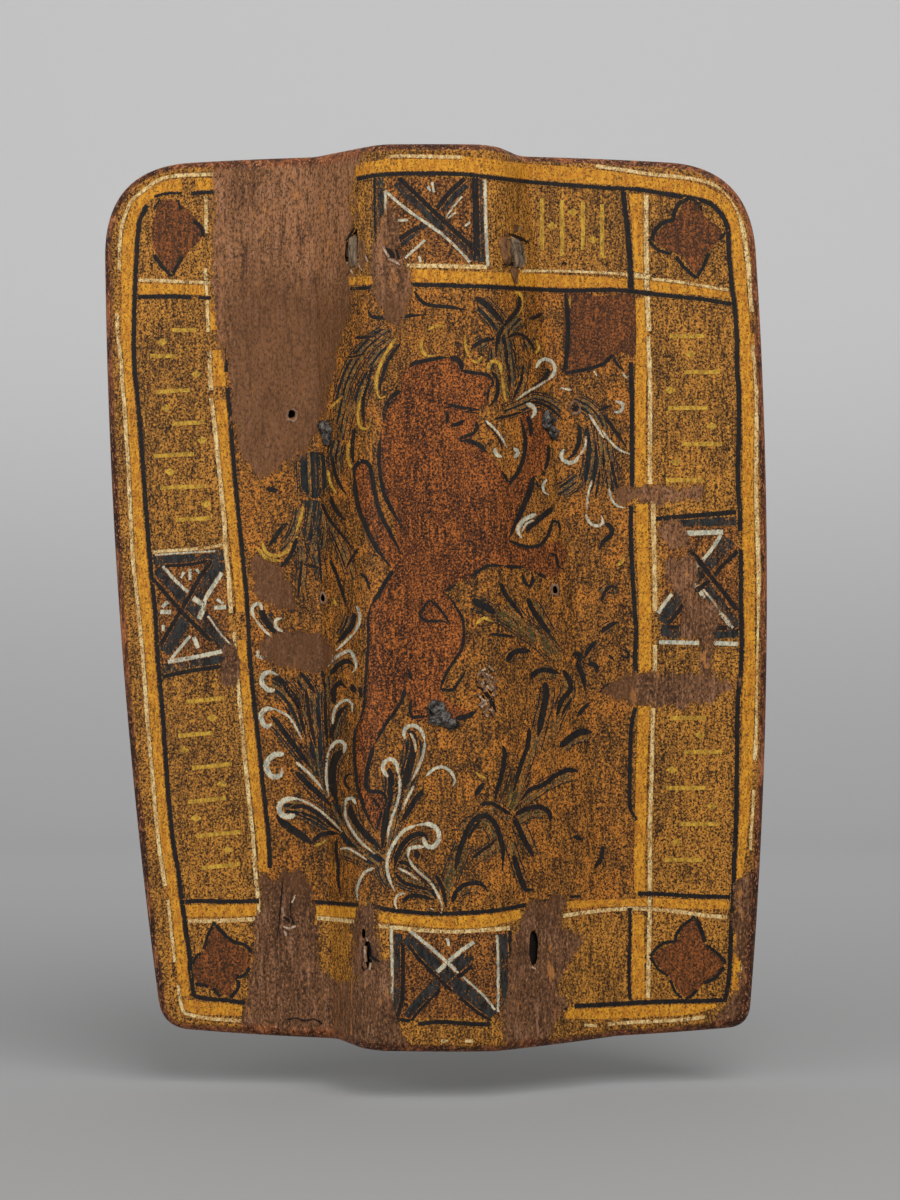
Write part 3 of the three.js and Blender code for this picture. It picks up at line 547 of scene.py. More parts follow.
def mottled_ground_group():
    """Orange-brown paint dense with dark specks, redder on the beast and paler in the panels."""
    group = new_group("mottled_ground", [], [("Colour", "NodeSocketColor"), ("Height", "NodeSocketFloat")])
    n = Nodes(group)
    out = group.nodes.new("NodeGroupOutput")
    clouds = n.noise(22, (1, 1, 0.6), 5, 0.62, 0.8)
    patches = n.noise(75, (1, 1, 0.8), 4, 0.6, 0.5)
    streaks = n.noise(420, (1, 1, 0.2), 5, 0.65, 0.4)
    speckle = n.noise(860, (1, 1, 0.9), 4, 0.8)
    beast = n.step(n.attribute("beast"), -0.3, 0.3)
    box = n.step(n.attribute("box"), -0.3, 0.3)
    field = n.step(n.math("ADD", n.attribute("field"), n.math("MULTIPLY", clouds, 12)), 0.0, 14.0)
    cloudy = n.step(clouds, 0.36, 0.64)
    panel = n.mix(cloudy, (134, 88, 36), (184, 122, 46))
    centre = n.mix(cloudy, (104, 68, 30), (148, 95, 38))
    centre = n.mix(n.step(patches, 0.5, 0.6, 0, 0.8), centre, (192, 118, 42))
    base = n.mix(field, panel, centre)
    leaf = n.step(n.attribute("leaf"), -0.3, 0.3)
    red = n.math("MAXIMUM", n.math("MAXIMUM", beast, leaf), n.math("MULTIPLY", box, 0.5))
    ruddy = n.mix(cloudy, (92, 48, 22), (132, 72, 31))
    ruddy = n.mix(n.step(patches, 0.5, 0.6, 0, 0.5), ruddy, (170, 94, 38))
    base = n.mix(red, base, ruddy)
    base = n.mix(n.math("MULTIPLY", box, 0.4), base, (92, 56, 38))
    light = n.mix(field, (222, 154, 60), (220, 140, 50))
    light = n.mix(red, light, (214, 122, 50))
    base = n.mix(n.step(streaks, 0.5, 0.64, 0, 0.5), base, light)
    base = n.mix(n.step(streaks, 0.47, 0.39, 0, 0.7), base, (62, 36, 19))
    base = n.mix(n.step(speckle, 0.5, 0.54, 0, 0.96), base, (26, 17, 11))
    base = n.mix(n.step(speckle, 0.44, 0.4, 0, 0.75), base, light)
    base = n.mix(n.math("MULTIPLY", leaf, 0.4), base, (70, 46, 28))
    n.join(base, out.inputs["Colour"])
    n.join(n.math("ADD", speckle, streaks), out.inputs["Height"])
    return group


def wear_group():
    """Where the paint has gone from the hide, where it is thin, and where a stroke ends."""
    masks = [(name, "NodeSocketFloat") for name in ("Gone", "Thin", "Beyond")]
    group = new_group("paint_wear", [("Hold", "NodeSocketFloat", 0.5)], masks)
    n = Nodes(group)
    inputs = group.nodes.new("NodeGroupInput")
    out = group.nodes.new("NodeGroupOutput")
    ragged = n.noise(120, (1, 1, 0.5), 6, 0.7)
    fine = n.noise(1100, (1, 1, 0.5), 3, 0.75)
    edge = n.math("ADD", n.attribute("bare"), n.math("MULTIPLY", n.math("SUBTRACT", ragged, 0.5), 22))
    edge = n.math("ADD", edge, n.math("MULTIPLY", n.math("SUBTRACT", fine, 0.5), 10))
    lost = n.step(edge, -0.5, 0.5)
    rim = n.math("SUBTRACT", n.attribute("from_rim"), n.math("MULTIPLY", ragged, 5.5))
    rim = n.math("SUBTRACT", rim, n.math("MULTIPLY", fine, 3))
    worn_rim = n.step(rim, 0.6, -0.6)
    n.join(n.math("MAXIMUM", lost, worn_rim), out.inputs["Gone"])
    flakes = n.math("ADD", n.math("MULTIPLY", fine, 0.6), n.math("MULTIPLY", ragged, 0.4))
    n.join(n.step(n.math("SUBTRACT", flakes, inputs.outputs["Hold"]), 0.0, 0.05), out.inputs["Thin"])
    frayed = n.math("ADD", n.attribute("from_edge"), n.math("MULTIPLY", n.math("SUBTRACT", fine, 0.5), 2.2))
    n.join(n.step(frayed, 0.12, -0.12), out.inputs["Beyond"])
    return group


GROUPS = {
    "bare_hide": bare_hide_group(),
    "mottled_ground": mottled_ground_group(),
    "paint_wear": wear_group(),
}


def use_group(n, name, **values):
    node = n.tree.nodes.new("ShaderNodeGroup")
    node.node_tree = GROUPS[name]
    for title, value in values.items():
        n.feed(node.inputs[title], value)
    return node


def new_material(name, roughness=0.6, metallic=0.0, sheen=0.18):
    material = bpy.data.materials.new(name)
    material.use_nodes = True
    n = Nodes(material.node_tree)
    shader = material.node_tree.nodes["Principled BSDF"]
    shader.inputs["Roughness"].default_value = roughness
    shader.inputs["Metallic"].default_value = metallic
    shader.inputs["Specular IOR Level"].default_value = sheen
    return material, n, shader


def add_bump(n, shader, height, strength, distance):
    bump = n.add("Bump")
    bump.inputs["Strength"].default_value = strength
    bump.inputs["Distance"].default_value = distance
    n.feed(bump.inputs["Height"], height)
    n.join(bump.outputs["Normal"], shader.inputs["Normal"])


def painted_material(name, paint=None, second=None, hold=0.62, specks=0.75, lasting=False):
    """Old paint over the mottled ground, gone where the hide shows unless it is lasting."""
    material, n, shader = new_material(name, 0.55)
    ground = use_group(n, "mottled_ground")
    hide = use_group(n, "bare_hide")
    wear = use_group(n, "paint_wear", Hold=hold)
    look = n.mix(wear.outputs["Gone"], ground.outputs["Colour"], hide.outputs["Colour"])
    if paint:
        tone = n.mix(n.step(n.noise(420, (1, 1, 0.35), 4, 0.65), 0.38, 0.62), paint, second)
        specked = n.step(n.noise(820, (1, 1, 0.8), 4, 0.75), 0.53, 0.58, 0, specks)
        tone = n.mix(specked, tone, (50, 32, 19))
        away = n.math("MAXIMUM", wear.outputs["Thin"], wear.outputs["Beyond"])
        if not lasting:
            away = n.math("MAXIMUM", away, wear.outputs["Gone"])
        look = n.mix(away, tone, look)
    n.join(look, shader.inputs["Base Color"])
    kept = n.math("SUBTRACT", 1.0, wear.outputs["Gone"])
    height = n.math("ADD", n.math("MULTIPLY", kept, 0.8), n.math("MULTIPLY", ground.outputs["Height"], 0.12))
    add_bump(n, shader, height, 0.6, 0.0005)
    return material


def plain_material(name, first, second, third, scale, stretch, roughness=0.6, metallic=0.0, bump=0.4):
    material, n, shader = new_material(name, roughness, metallic)
    broad = n.noise(scale, stretch, 5, 0.6, 0.3)
    fine = n.noise(scale * 7, stretch, 3, 0.6)
    look = n.mix(n.step(broad, 0.35, 0.65), first, second)
    look = n.mix(n.step(fine, 0.5, 0.7, 0, 0.7), look, third)
    n.join(look, shader.inputs["Base Color"])
    add_bump(n, shader, n.math("ADD", broad, n.math("MULTIPLY", fine, 0.5)), bump, 0.0005)
    return material


MATERIALS = {
    "ground": painted_material("ground_paint"),
    "ochre": painted_material("ochre_paint", (226, 158, 44), (192, 122, 34), 0.55),
    "black": painted_material("black_paint", (22, 20, 20), (36, 30, 26), 0.62, 0),
    "cream": painted_material("cream_paint", (240, 212, 152), (200, 158, 96), 0.54),
    "blue": painted_material("blue_black_paint", (24, 25, 25), (50, 53, 52), 0.53, 0.4),
    "dark": painted_material("frond_paint", (16, 20, 24), (38, 42, 40), 0.63, 0.2),
    "green": painted_material("green_paint", (44, 46, 26), (82, 78, 38), 0.51, 0.3),
    "vein": painted_material("frond_vein", (112, 104, 64), (60, 68, 60), 0.52, 0.3),
    "haze": painted_material("frond_haze", (25, 27, 24), (54, 51, 34), 0.49, 0.3),
    "yellow": painted_material("yellow_paint", (214, 168, 60), (170, 128, 44), 0.56, 0.6),
    "pale": painted_material("pale_paint", (216, 208, 178), (164, 164, 148), 0.57, 0.4),
    # Near-black painted shade for the openings of tears, holes and slots
    "gap": painted_material("torn_gap_painted_shade", (14, 11, 9), (26, 19, 14), 0.9, 0, True),
    "fibre": painted_material("pale_fibre", (206, 182, 156), (142, 118, 98), 0.6, 0.4, True),
    "wood": plain_material("stave_wood", (112, 80, 50), (88, 60, 36), (52, 34, 20), 90,
                           (1, 1, 0.08), 0.7),
    "handle": plain_material("handle_wood", (98, 68, 44), (72, 48, 30), (46, 30, 20), 110,
                             (1, 1, 0.1), 0.5),
    "crossbar": plain_material("crossbar_wood", (98, 68, 44), (72, 48, 30), (46, 30, 20), 110,
                               (0.1, 1, 1), 0.5),
    "peg": plain_material("peg_wood", (140, 104, 66), (110, 76, 46), (70, 46, 28), 140,
                          (1, 0.1, 1), 0.6),
    "leather": plain_material("grip_leather", (62, 40, 28), (44, 28, 20), (26, 18, 14), 160,
                              (1, 1, 1), 0.45),
    "hide": plain_material("back_hide", (116, 88, 62), (92, 66, 44), (64, 44, 30), 40,
                           (1, 1, 0.5), 0.65),
    "scraped": plain_material("scraped_hide", (158, 124, 98), (112, 80, 58), (60, 40, 28), 240,
                              (1, 1, 0.4), 0.7),
    "hide_brown": plain_material("torn_hide", (146, 102, 64), (84, 54, 33), (44, 27, 17), 330,
                                 (1, 1, 0.4), 0.7),
    "rust": plain_material("rusted_stub", (34, 26, 22), (22, 17, 15), (12, 10, 9), 300,
                           (1, 1, 1), 0.8),
    "front_hide": plain_material("front_hide", (96, 62, 44), (76, 46, 34), (48, 28, 22), 60,
                                 (1, 1, 0.5), 0.65),
    # Wrought iron: the pale second colour is painted glints, and the near-black third colour is painted shade
    # in the creases, both scattered by noise
    "iron": plain_material("wrought_iron", (34, 32, 30), (112, 106, 100), (12, 10, 9), 330,
                           (1, 1, 1), 0.34, 0.6, 1.0),
    "rawhide": plain_material("rawhide", (162, 138, 110), (62, 47, 35), (24, 17, 12), 430,
                              (1, 1, 0.14), 0.6, 0, 0.8),
}
NODE_MATERIALS = {
    "stave_": "wood", "hide_front": "front_hide", "hide_back": "hide", "painted_ground": "ground",
    "handle_crossbar": "crossbar", "handle_stem": "handle", "handle_peg": "peg", "grip_sleeve": "leather",
    "nail_": "iron", "thong_": "rawhide",
}
for node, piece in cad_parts.items():
    for start, look in NODE_MATERIALS.items():
        if node.startswith(start):
            piece.data.materials.clear()
            piece.data.materials.append(MATERIALS[look])


# Openings through the wall: x, z, width, height and turn
HOLES = [(-89.2, 73.8, 5.4, 5.6, 0), (84.9, 78.1, 5.2, 5, 0), (-70.1, -38.7, 4.6, 5.4, 0),
         (72.6, -33.8, 4.6, 5, 0), (30.7, -95.3, 9.4, 4, math.radians(40))]
FRONT_SLOTS = [(-50.8, 171.8, 7.4, 22, -0.12), (48, 169.6, 8.6, 20, 0.1), (-40.6, -251.2, 4.4, 17.5, 0.06),
               (-43.4, -238.8, 2.2, 6, 0), (58, -248.4, 5.4, 21.5, 0)]
BACK_SLOTS = [(-52.3, 176, 7.6, 23, 0), (48, 176, 8.4, 23, 0), (-42.4, -254, 7.4, 23, 0),
              (59, -254, 7.4, 23, 0)]

# The painted face
FACE_COLUMNS, FACE_ROWS = 190, 246


def ragged(x, z, size):
    """A smooth uneven value between -1 and 1 for places in millimetres."""
    return noise.noise(Vector((x / size, 7.3, z / size)))


def opening_cutters(slots):
    """Upright ragged prisms through the face at the slots, the rivet holes and the torn hole."""
    prisms = []
    for x, z, width, height, turn in slots + HOLES:
        bpy.ops.mesh.primitive_cylinder_add(vertices=28, radius=1, depth=2, rotation=(math.pi / 2, 0, 0))
        prism = bpy.context.object
        bpy.ops.object.transform_apply(rotation=True)
        for vertex in prism.data.vertices:
            angle = math.atan2(vertex.co.z, vertex.co.x)
            grown = 1 + 0.16 * ragged(3 * math.cos(angle) + x, 3 * math.sin(angle) + z, 1.1)
            across = math.cos(angle) * width / 2 * grown
            up = math.copysign(abs(math.sin(angle)) ** 0.8, math.sin(angle)) * height / 2 * grown
            vertex.co = (x + across * math.cos(turn) - up * math.sin(turn), -36 + 34 * vertex.co.y,
                         z + across * math.sin(turn) + up * math.cos(turn))
            vertex.co *= MM
        prisms.append(prism)
    return join_pieces("opening_cutters", prisms)


def cut_openings(piece, slots):
    cutters = opening_cutters(slots)
    apply_modifier(piece, "BOOLEAN", operation="DIFFERENCE", solver="MANIFOLD", object=cutters)
    bpy.data.objects.remove(cutters, do_unlink=True)


def join_pieces(name, pieces):
    bpy.ops.object.select_all(action="DESELECT")
    for piece in pieces:
        piece.select_set(True)
    bpy.context.view_layer.objects.active = pieces[0]
    if len(pieces) > 1:
        bpy.ops.object.join()
    pieces[0].name = name
    pieces[0].data.name = name
    bpy.ops.object.select_all(action="DESELECT")
    return pieces[0]


def dress_piece(piece, look, slot, *nodes):
    mark_places(piece)
    piece.data.materials.clear()
    piece.data.materials.append(MATERIALS[look])
    bpy.context.view_layer.objects.active = piece
    piece.select_set(True)
    bpy.ops.object.shade_smooth_by_angle(angle=math.radians(50))
    finish_piece(piece, slot, *nodes)
    bpy.ops.object.select_all(action="DESELECT")


def make_face():
    feet = sheet_feet(FACE_COLUMNS, FACE_ROWS, FACE)
    points = at_depth(feet[..., 0], feet[..., 1], FACE)
    lift = relief(points[..., 0], points[..., 2])
    points = at_depth(feet[..., 0], feet[..., 1], FACE + lift)
    face = grid_piece("painted_face", points)
    insets, depths = rim_rings(FACE, 90, -45, 8)
    wrap_rim(face, FACE_COLUMNS, FACE_ROWS, insets[1:], depths[1:])
    apply_modifier(face, "SOLIDIFY", thickness=0.8 * MM, offset=-1)
    cut_openings(face, FRONT_SLOTS)
    mark_places(face)
    face.data.materials.clear()
    face.data.materials.append(MATERIALS["ground"])
    bpy.ops.object.shade_smooth()
    finish_piece(face, "painted_ground", "painted_ground")
    bpy.ops.object.select_all(action="DESELECT")


HIDE_COLUMNS, HIDE_ROWS = 120, 156


def make_front_hide():
    """The hide under the paint, drawn round the rim and folded over onto the back."""
    feet = sheet_feet(HIDE_COLUMNS, HIDE_ROWS, FACE)
    hide = grid_piece("front_hide_cover", at_depth(feet[..., 0], feet[..., 1], HIDE_OUTER - 0.15))
    insets, depths = rim_rings(HIDE_OUTER - 0.1, 90, -90, 14)
    insets, depths = list(insets[1:]), list(depths[1:])
    for share in np.linspace(0, 1, 9)[1:]:
        insets.append(FACE + TURNOVER * share)
        depths.append(-HIDE_OUTER + 0.25 * math.sin(7 * share))
    wrap_rim(hide, HIDE_COLUMNS, HIDE_ROWS, insets, depths)
    trim_turnover(hide)
    apply_modifier(hide, "SOLIDIFY", thickness=1.3 * MM, offset=-1)
    cut_openings(hide, FRONT_SLOTS)
    dress_piece(hide, "front_hide", "front_hide", "hide_front")


def trim_turnover(hide):
    """Makes the folded hide's cut edge wavy."""
    points = face_points(hide)
    inside = inside_by(points[:, 0], points[:, 2], outline_loop())
    behind = points[:, 1] - middle_y(points[:, 0], points[:, 2])
    for number in np.flatnonzero((behind > 2) & (inside > FACE + 2)):
        x, _, z = points[number]
        share = (inside[number] - FACE) / TURNOVER
        towards = Vector((-x, 0, -38 - z)).normalized()
        vertex = hide.data.vertices[number]
        vertex.co += towards * MM * share * (1.1 * ragged(x, z, 21) + 0.6 * ragged(x, z, 6))
        vertex.co.y += MM * 0.25 * share * ragged(x, z, 9)


def make_back_hide():
    """The thinner hide glued on the back, inside the turned-over edge."""
    feet = sheet_feet(HIDE_COLUMNS, HIDE_ROWS, FACE + TURNOVER + 0.6)
    uneven = 0.16 * np.sin(feet[..., 0] / 9 + 2 * np.sin(feet[..., 1] / 40)) * np.sin(feet[..., 1] / 23)
    points = at_depth(feet[..., 0], feet[..., 1], -BACK + 0.1 + uneven)
    hide = grid_piece("back_hide_cover", points[:, ::-1])
    apply_modifier(hide, "SOLIDIFY", thickness=1.1 * MM, offset=-1)
    cut_openings(hide, BACK_SLOTS)
    dress_piece(hide, "hide", "back_hide", "hide_back")


def read_strokes(text):
    """Strokes, one a line: a width, then places. A place may give its own width."""
    strokes = []
    for line in filter(None, text.splitlines()):
        width, *places = line.split()
        rows = [[float(value) for value in place.split(",")] for place in places]
        strokes.append([row if len(row) == 3 else row + [float(width)] for row in rows])
    return strokes


# How far a strip reaches past its stroke, in pixels, so that its edge can fray
FRAY = 0.8


def sideways(rows):
    """The directions square to a curve at its places."""
    heading = np.gradient(rows[:, :2], axis=0)
    heading /= np.linalg.norm(heading, axis=1, keepdims=True)
    return np.stack([-heading[:, 1], heading[:, 0]], axis=1)


def make_strokes(name, look, text, lift, brushed=False, growth=1.0):
    """Strips of one colour laid on the face. Brushed ones start round and thin out at their end."""
    lanes, from_edge = [], []
    for stroke in read_strokes(text):
        rows = smooth_curve(stroke, 3.0)
        rows[:, 2] *= growth
        if brushed:
            share = np.linspace(0, 1, len(rows))
            rows[:, 2] *= np.minimum(1, np.minimum(0.35 + share / 0.12, 0.25 + (1 - share) / 0.3))
        side = sideways(rows)
        half = rows[:, 2, None] / 2 + FRAY
        columns = max(2, 2 * int(math.ceil(half.max() / 4)))
        across = half * np.linspace(-1, 1, columns + 1)
        px = rows[:, 0, None] + side[:, 0, None] * across
        py = rows[:, 1, None] + side[:, 1, None] * across
        lanes.append((px, py))
        from_edge.append(MM_PER_PIXEL * (half - FRAY - np.abs(across)).ravel())
    all_px, all_py = [np.concatenate([lane[k].ravel() for lane in lanes]) for k in (0, 1)]
    ends = np.cumsum([px.size for px, _ in lanes])[:-1]
    parts = np.split(on_face(all_px, all_py, lift), ends)
    strips = []
    for part, (px, _), values in zip(parts, lanes, from_edge):
        strip = grid_piece(name, part.reshape(*px.shape, 3))
        add_attribute(strip, "from_edge", values)
        strips.append(strip)
    piece = join_pieces(name, strips)
    apply_modifier(piece, "SOLIDIFY", thickness=max(lift + 0.25, 0.3) * MM, offset=-1)
    mark_places(piece)
    piece.data.materials.append(MATERIALS[look])
    bpy.ops.object.shade_smooth_by_angle(angle=math.radians(40))
    finish_piece(piece, "painted_ground")
    bpy.ops.object.select_all(action="DESELECT")


HATCH_WIDTH = 1.4


def inner_lines(text, shares):
    """Thin lines that run along broad strokes, at shares of their half width from the middle."""
    lines = []
    for stroke in read_strokes(text):
        rows = smooth_curve(stroke, 8.0)
        side = sideways(rows) * rows[:, 2:] / 2
        for share in shares:
            places = rows[:, :2] + side * share
            lines.append(f"{HATCH_WIDTH} " + " ".join(f"{x:.1f},{y:.1f}" for x, y in places))
    return "\n".join(lines)


make_face()
make_front_hide()
make_back_hide()

# The border: ochre bands, black lines and cream lines
OCHRE_BANDS = """
13 131,226 128,244 128,300 127,350,11 131,400,11 134,450 140,525 144,600 149,660,12 156,750,12 166,845,11 \
172,880,12 177,905,11 181,950,11 184,996,10
12 131,226 137,206,11 150,193 170,186 182,185
12 195,184 217,184
16 355,171 375,168,14 400,165 460,164 520,171 560,174 600,177,14 650,183,12 690,190 715,199,14 730,216,13 \
737,250,12 742,300,11 746,350,12 748,420,11 748,480,11 749,600,12 749,690,12 746,780,11 741,850,9 738,880,8
8 738,900 738,940 736,990
12 184,1004,10 200,1008 242,1010
11 565,1013 600,1013,12 650,1011,12 690,1009 716,1004,6
8 213,304 214,330
13 218,350 219,386
13 220,400,11 224,430 228,478 235,530,12 241,600,11 241,612,9
12 243,640 246,672 250,720 257,790 263,840 264,872,10
14 636,194 638,240,11 638,288,10
11 641,298 642,330 641,380 640,420 641,487
12 642,504 643,560 645,600 645,673
11 644,706 642,760 641,800 640,850 640,893
12 638,915 638,960,13 638,998,13
11 137,289 205,289
8 346,281 378,280
14 408,276 487,279 560,281,13 645,286,11 690,290,9 730,294,8
12 185,911 258,910
11 313,911 356,912
11 379,916 420,920,12 450,922,13 480,921,13 500,918,12 521,914,9
7 567,905 608,903 650,903,9 690,904,9 729,905,9
"""
BLACK_LINES = """
4.6 147,205 140,220 138,235 137,250 135,290 134,340 135,370 138,400 142,450 147,520 149,545 152,580 \
155,610 158,660 163,720 168,790 173,840 178,870 182,900 186,930 189,950 191,975 194,996
2.8 154,197 165,193.5 181,193
4 191,193.5 219,191.5
4.2 357,179 380,175 420,173.5 460,174 480,176 520,181 560,184.5 600,187.5 640,190 670,195,5 700,200,5 \
715,207,5 727,225,5 729,250,5 732,285,5 735,310,5 737,340,5 737,370,5 739,400,5 738,480,5 740,510,5 \
740,531,5
4.8 741,550 741,600 742,640 741,670 738,700 737,760 736,820 734,862 733,900 731,930 730,960 728,985 725,1000
4.5 194,996 205,998.5 225,1000 245,1003
4.6 562,1008 568,1008
4.6 575,1006 600,1005 650,1002 700,1001 727,1000
4 225,338 227,355 226,372
4.4 227,388 230,410 231,430 233,455 235,478 239,520 242,550 245,580 247,600 249,640 251,670 254,700 \
259,745 264,795 269,840 270,868
5.6 623,190 625,210 628,235 630,260 631,289
4.8 631,362 632,400 632,450 632,488
4.8 631,506 631,540 634,600 636,630 635,660 636,673
4.4 635,708 631,730 630,770 630,806 637,820,2
3.6 630,908 630,940 629,970 630,1000
4.4 137,297 165,296.5 191,297
3.6 198,297.5 211,298
4 348,289 364,288 379,286
4.4 408,284.5 480,286.5 560,290.5 610,290 640,292.5 670,296 700,299 732,304
4.4 180,902 200,901 240,901.5 259,901
4 312,901.5 330,903 358,905
4.4 371,905 385,909 400,911 430,913.5 460,913 490,911 510,908 526,905
3 537,903 550,900
3 557,900 562,899
3 570,897 581,896
4.4 638,894 660,894 690,896 730,897
5 565,293,2 567,310 568,330 567,350 565,372
4 565,373 578,371 592,368 604,363 613,355
"""
CREAM_LINES = """
3.4 216,174 200,174.5 172,176 158,180 148,187 140,193 132,200 126,212 122,225 120,240 119,270
3.8 117,313 118,335 121,360 122,380 124,400 126,430 128,460 131,525 133,560 136,590 139,620 142,650 \
145,690 148,730 153,785 158,840 161,860 165,886
3 168,900 170,920 173,945 175,962
3.2 178,985 180,1000 184,1012 195,1016 215,1019 242,1021
3.4 388,156.5 410,156 462,157
3.4 596,166 610,168 630,171 650,174 680,177 700,180 715,185 725,192 735,203,4.4 740,215,4.4 744,235,4.4 \
747,255,4.4 749,270,4.4 750,285,4.4 752,312,4
4.2 753,345 756,380 757,405 756,480 757,520 759,580 759,640 758,690 757,730 755,760
3 754,790 750,850
3 742,920 744,940 743,960 740,988
3.8 206,196 206,215 206,233
3 205,268 207,300 208,332
4.4 209,351 211,390
4.2 211,398 215,430 218,460 224,520 225,545 228,570 230,600 231,613
3.8 234,632 235,650 237,673 243,740 250,810 253,840 255,870 257,890 260,920
4.8 646,194 646,240 647,290 649,331
4.2 648,336 650,380 650,450 650,484
4.6 653,500 654,540 655,580 655,611
4 655,645 655,672
4 653,708 652,760 650,830 650,870 650,900 649,950 648,998
3.4 137,280 160,280.5 190,282 215,283
4 407,265.5 450,266 487,267
2.6 522,271 560,271 600,272.5 625,274
4.8 626,274 650,277
2.8 652,279 680,282 705,286 729,290
4 188,921 215,921 258,919
4 317,918 340,920 355,922
3.8 379,926 400,928 430,931 460,931.5 490,929.5 510,928
3.8 563,916 590,912 620,909 650,909 680,912 710,916 727,917
2.6 585,1025 597,1026
3.4 608,1024 640,1022 680,1020 705,1017
3 441,1041 448,1041
3 465,1041 473,1041
3 152,552 180,550 205,548 225,544
"""
# Crossed bars in the boxes of the border: dark bars, black shadow sides and light sides
BAR_BODIES = """
8 380,178 381,220,6 381,260,5
11 397,182 420,205 450,232 478,258
8 466,184 440,210
8 425,224 400,244
9 482,180 482,220 482,262
12 153,559 190,557 223,555
14 158,568 180,592 205,620 230,650
14 220,562 204,590 185,620 164,652
12 163,670 195,665 232,660
9 664,523 700,522 736,521
13 730,540 718,554 705,568 690,584 672,606 662,622
13 684,556 700,580 715,600 736,628
12 661,630 680,633
8 714,635 739,633
9 398,934 398,970 397,1016
15 405,938 430,962 460,988 494,1014
12 470,955 445,977 425,997 408,1018
9 503,934 504,960 506,990 508,1016
"""
BAR_SHADOWS = """
2.8 374.5,178 375,220 377,264
5 399,178 420,198 445,222 478,252
5 465,178 450,192 437,208
5 419,227 408,233 398,241
7 475,177 476,210 477,256
3.4 165,566 185,565 210,561
4.4 152,578 182,612 200,630 211,641
4.4 211,561 200,577 190,595 180,612 168,632 160,646
4.4 162,677 190,671 232,665
5 656,519 690,516 736,512
4.4 738,551 722,566 712,578 700,588 690,595 675,616 668,623
5 690,550 700,562 712,578 725,594 737,610
3.6 667,627 680,627
5 715,628 727,628
4.4 403,945 403,980 402,1000 397,1018
3.6 408,945 418,958 430,970 445,985 452,991
3.6 460,998 470,1006 480,1014 490,1020
4 472,966 462,974 457,977
3.2 440,990 430,1000 420,1010 412,1020
4 510,931 511,960 513,990 516,1018
4.4 418,1024 440,1022 470,1024 490,1024
4 392,1019 410,1021
"""
BAR_LIGHTS = """
2.6 385,191 386,210 387,228
2.4 388,221 408,220
2.8 385,191 405,208 425,222 442,234
2.4 442,234 455,246 470,262
2.4 425,240 415,249 405,258
1.6 462,196 454,206 446,217
1.6 456,212 448,218
3 485,177 486,220 488,266
3 163,566 175,580 190,594
4.6 193,598 203,606 199,619
1.6 208,616 220,633 231,645
4 222,573 212,588 205,600 202,612
3 190,636 180,648 170,660
4 168,662 190,658 205,655 224,651
1.6 155,555 180,553 215,551
3 190,569 190,580
2.6 181,578 184,572
2.6 196,569 201,575
3.4 162,607 168,602
4 160,612 171,612
3 163,625 163,631
4 214,608 226,607
2.6 217,599 223,604
4 194,637 198,648
5 676,533.5 723,532
3.4 721,535 711,550 700,563 690,572
3.4 672,594 664,604 658,613
4.6 683,568 690,579 697,587
1.8 701,587 712,600 722,614 733,628
4 710,607 720,613 731,626
4 699,590 704,598
4 659,642 699,643
4 714,643 738,644
2.8 391,928 392,960 392,990 391,1018
3.4 410,931 430,947 448,963 456,971
2 455,970 470,983 485,997 495,1010
4 474,942 462,950 450,960 437,972
2.4 497,935 498,960 498,990 498,1012
2.4 432,182 434,192
2.4 428,186 430,191
2 470,222 465,226
2.4 419,256 421,262
3 447,938 449,946
"""
# Outlines of the barbed quatrefoils in the corners
LEAF_LINES = """
4 203,236 201,227 193,221
4 154,255 160,264 171,276
4 171,276 177,266 182,257
2.4 160,199 154,208
2.4 178,200 180,209
4.6 688,199 680,203 675,210 673,220
4.6 673,220 665,222 657,228 650,242
3.4 650,242 658,250 671,254
4 676,257 684,267 696,278
4 696,278 703,267 709,253
3.2 692,199 699,204 702,211
3 728,228 720,240
3.4 215,922 208,935 204,949
4 215,924 225,935 235,943
4 235,943 245,945 254,954
4 250,968 243,976 236,977
4 237,978 238,988 230,998
3.4 213,988 220,997
3.4 195,984 203,985 208,987
3 201,953 196,956 193,965 193,978
3.6 695,917 684,925 677,934 675,942
3.6 675,942 665,943 656,949 651,957
3 651,957 658,969 668,976
3 670,980 676,993 682,998
3.4 697,990 690,997 686,999
4 724,967 715,978 704,983
3.6 726,963 717,953 706,945
4.8 705,942 701,930 696,918
"""
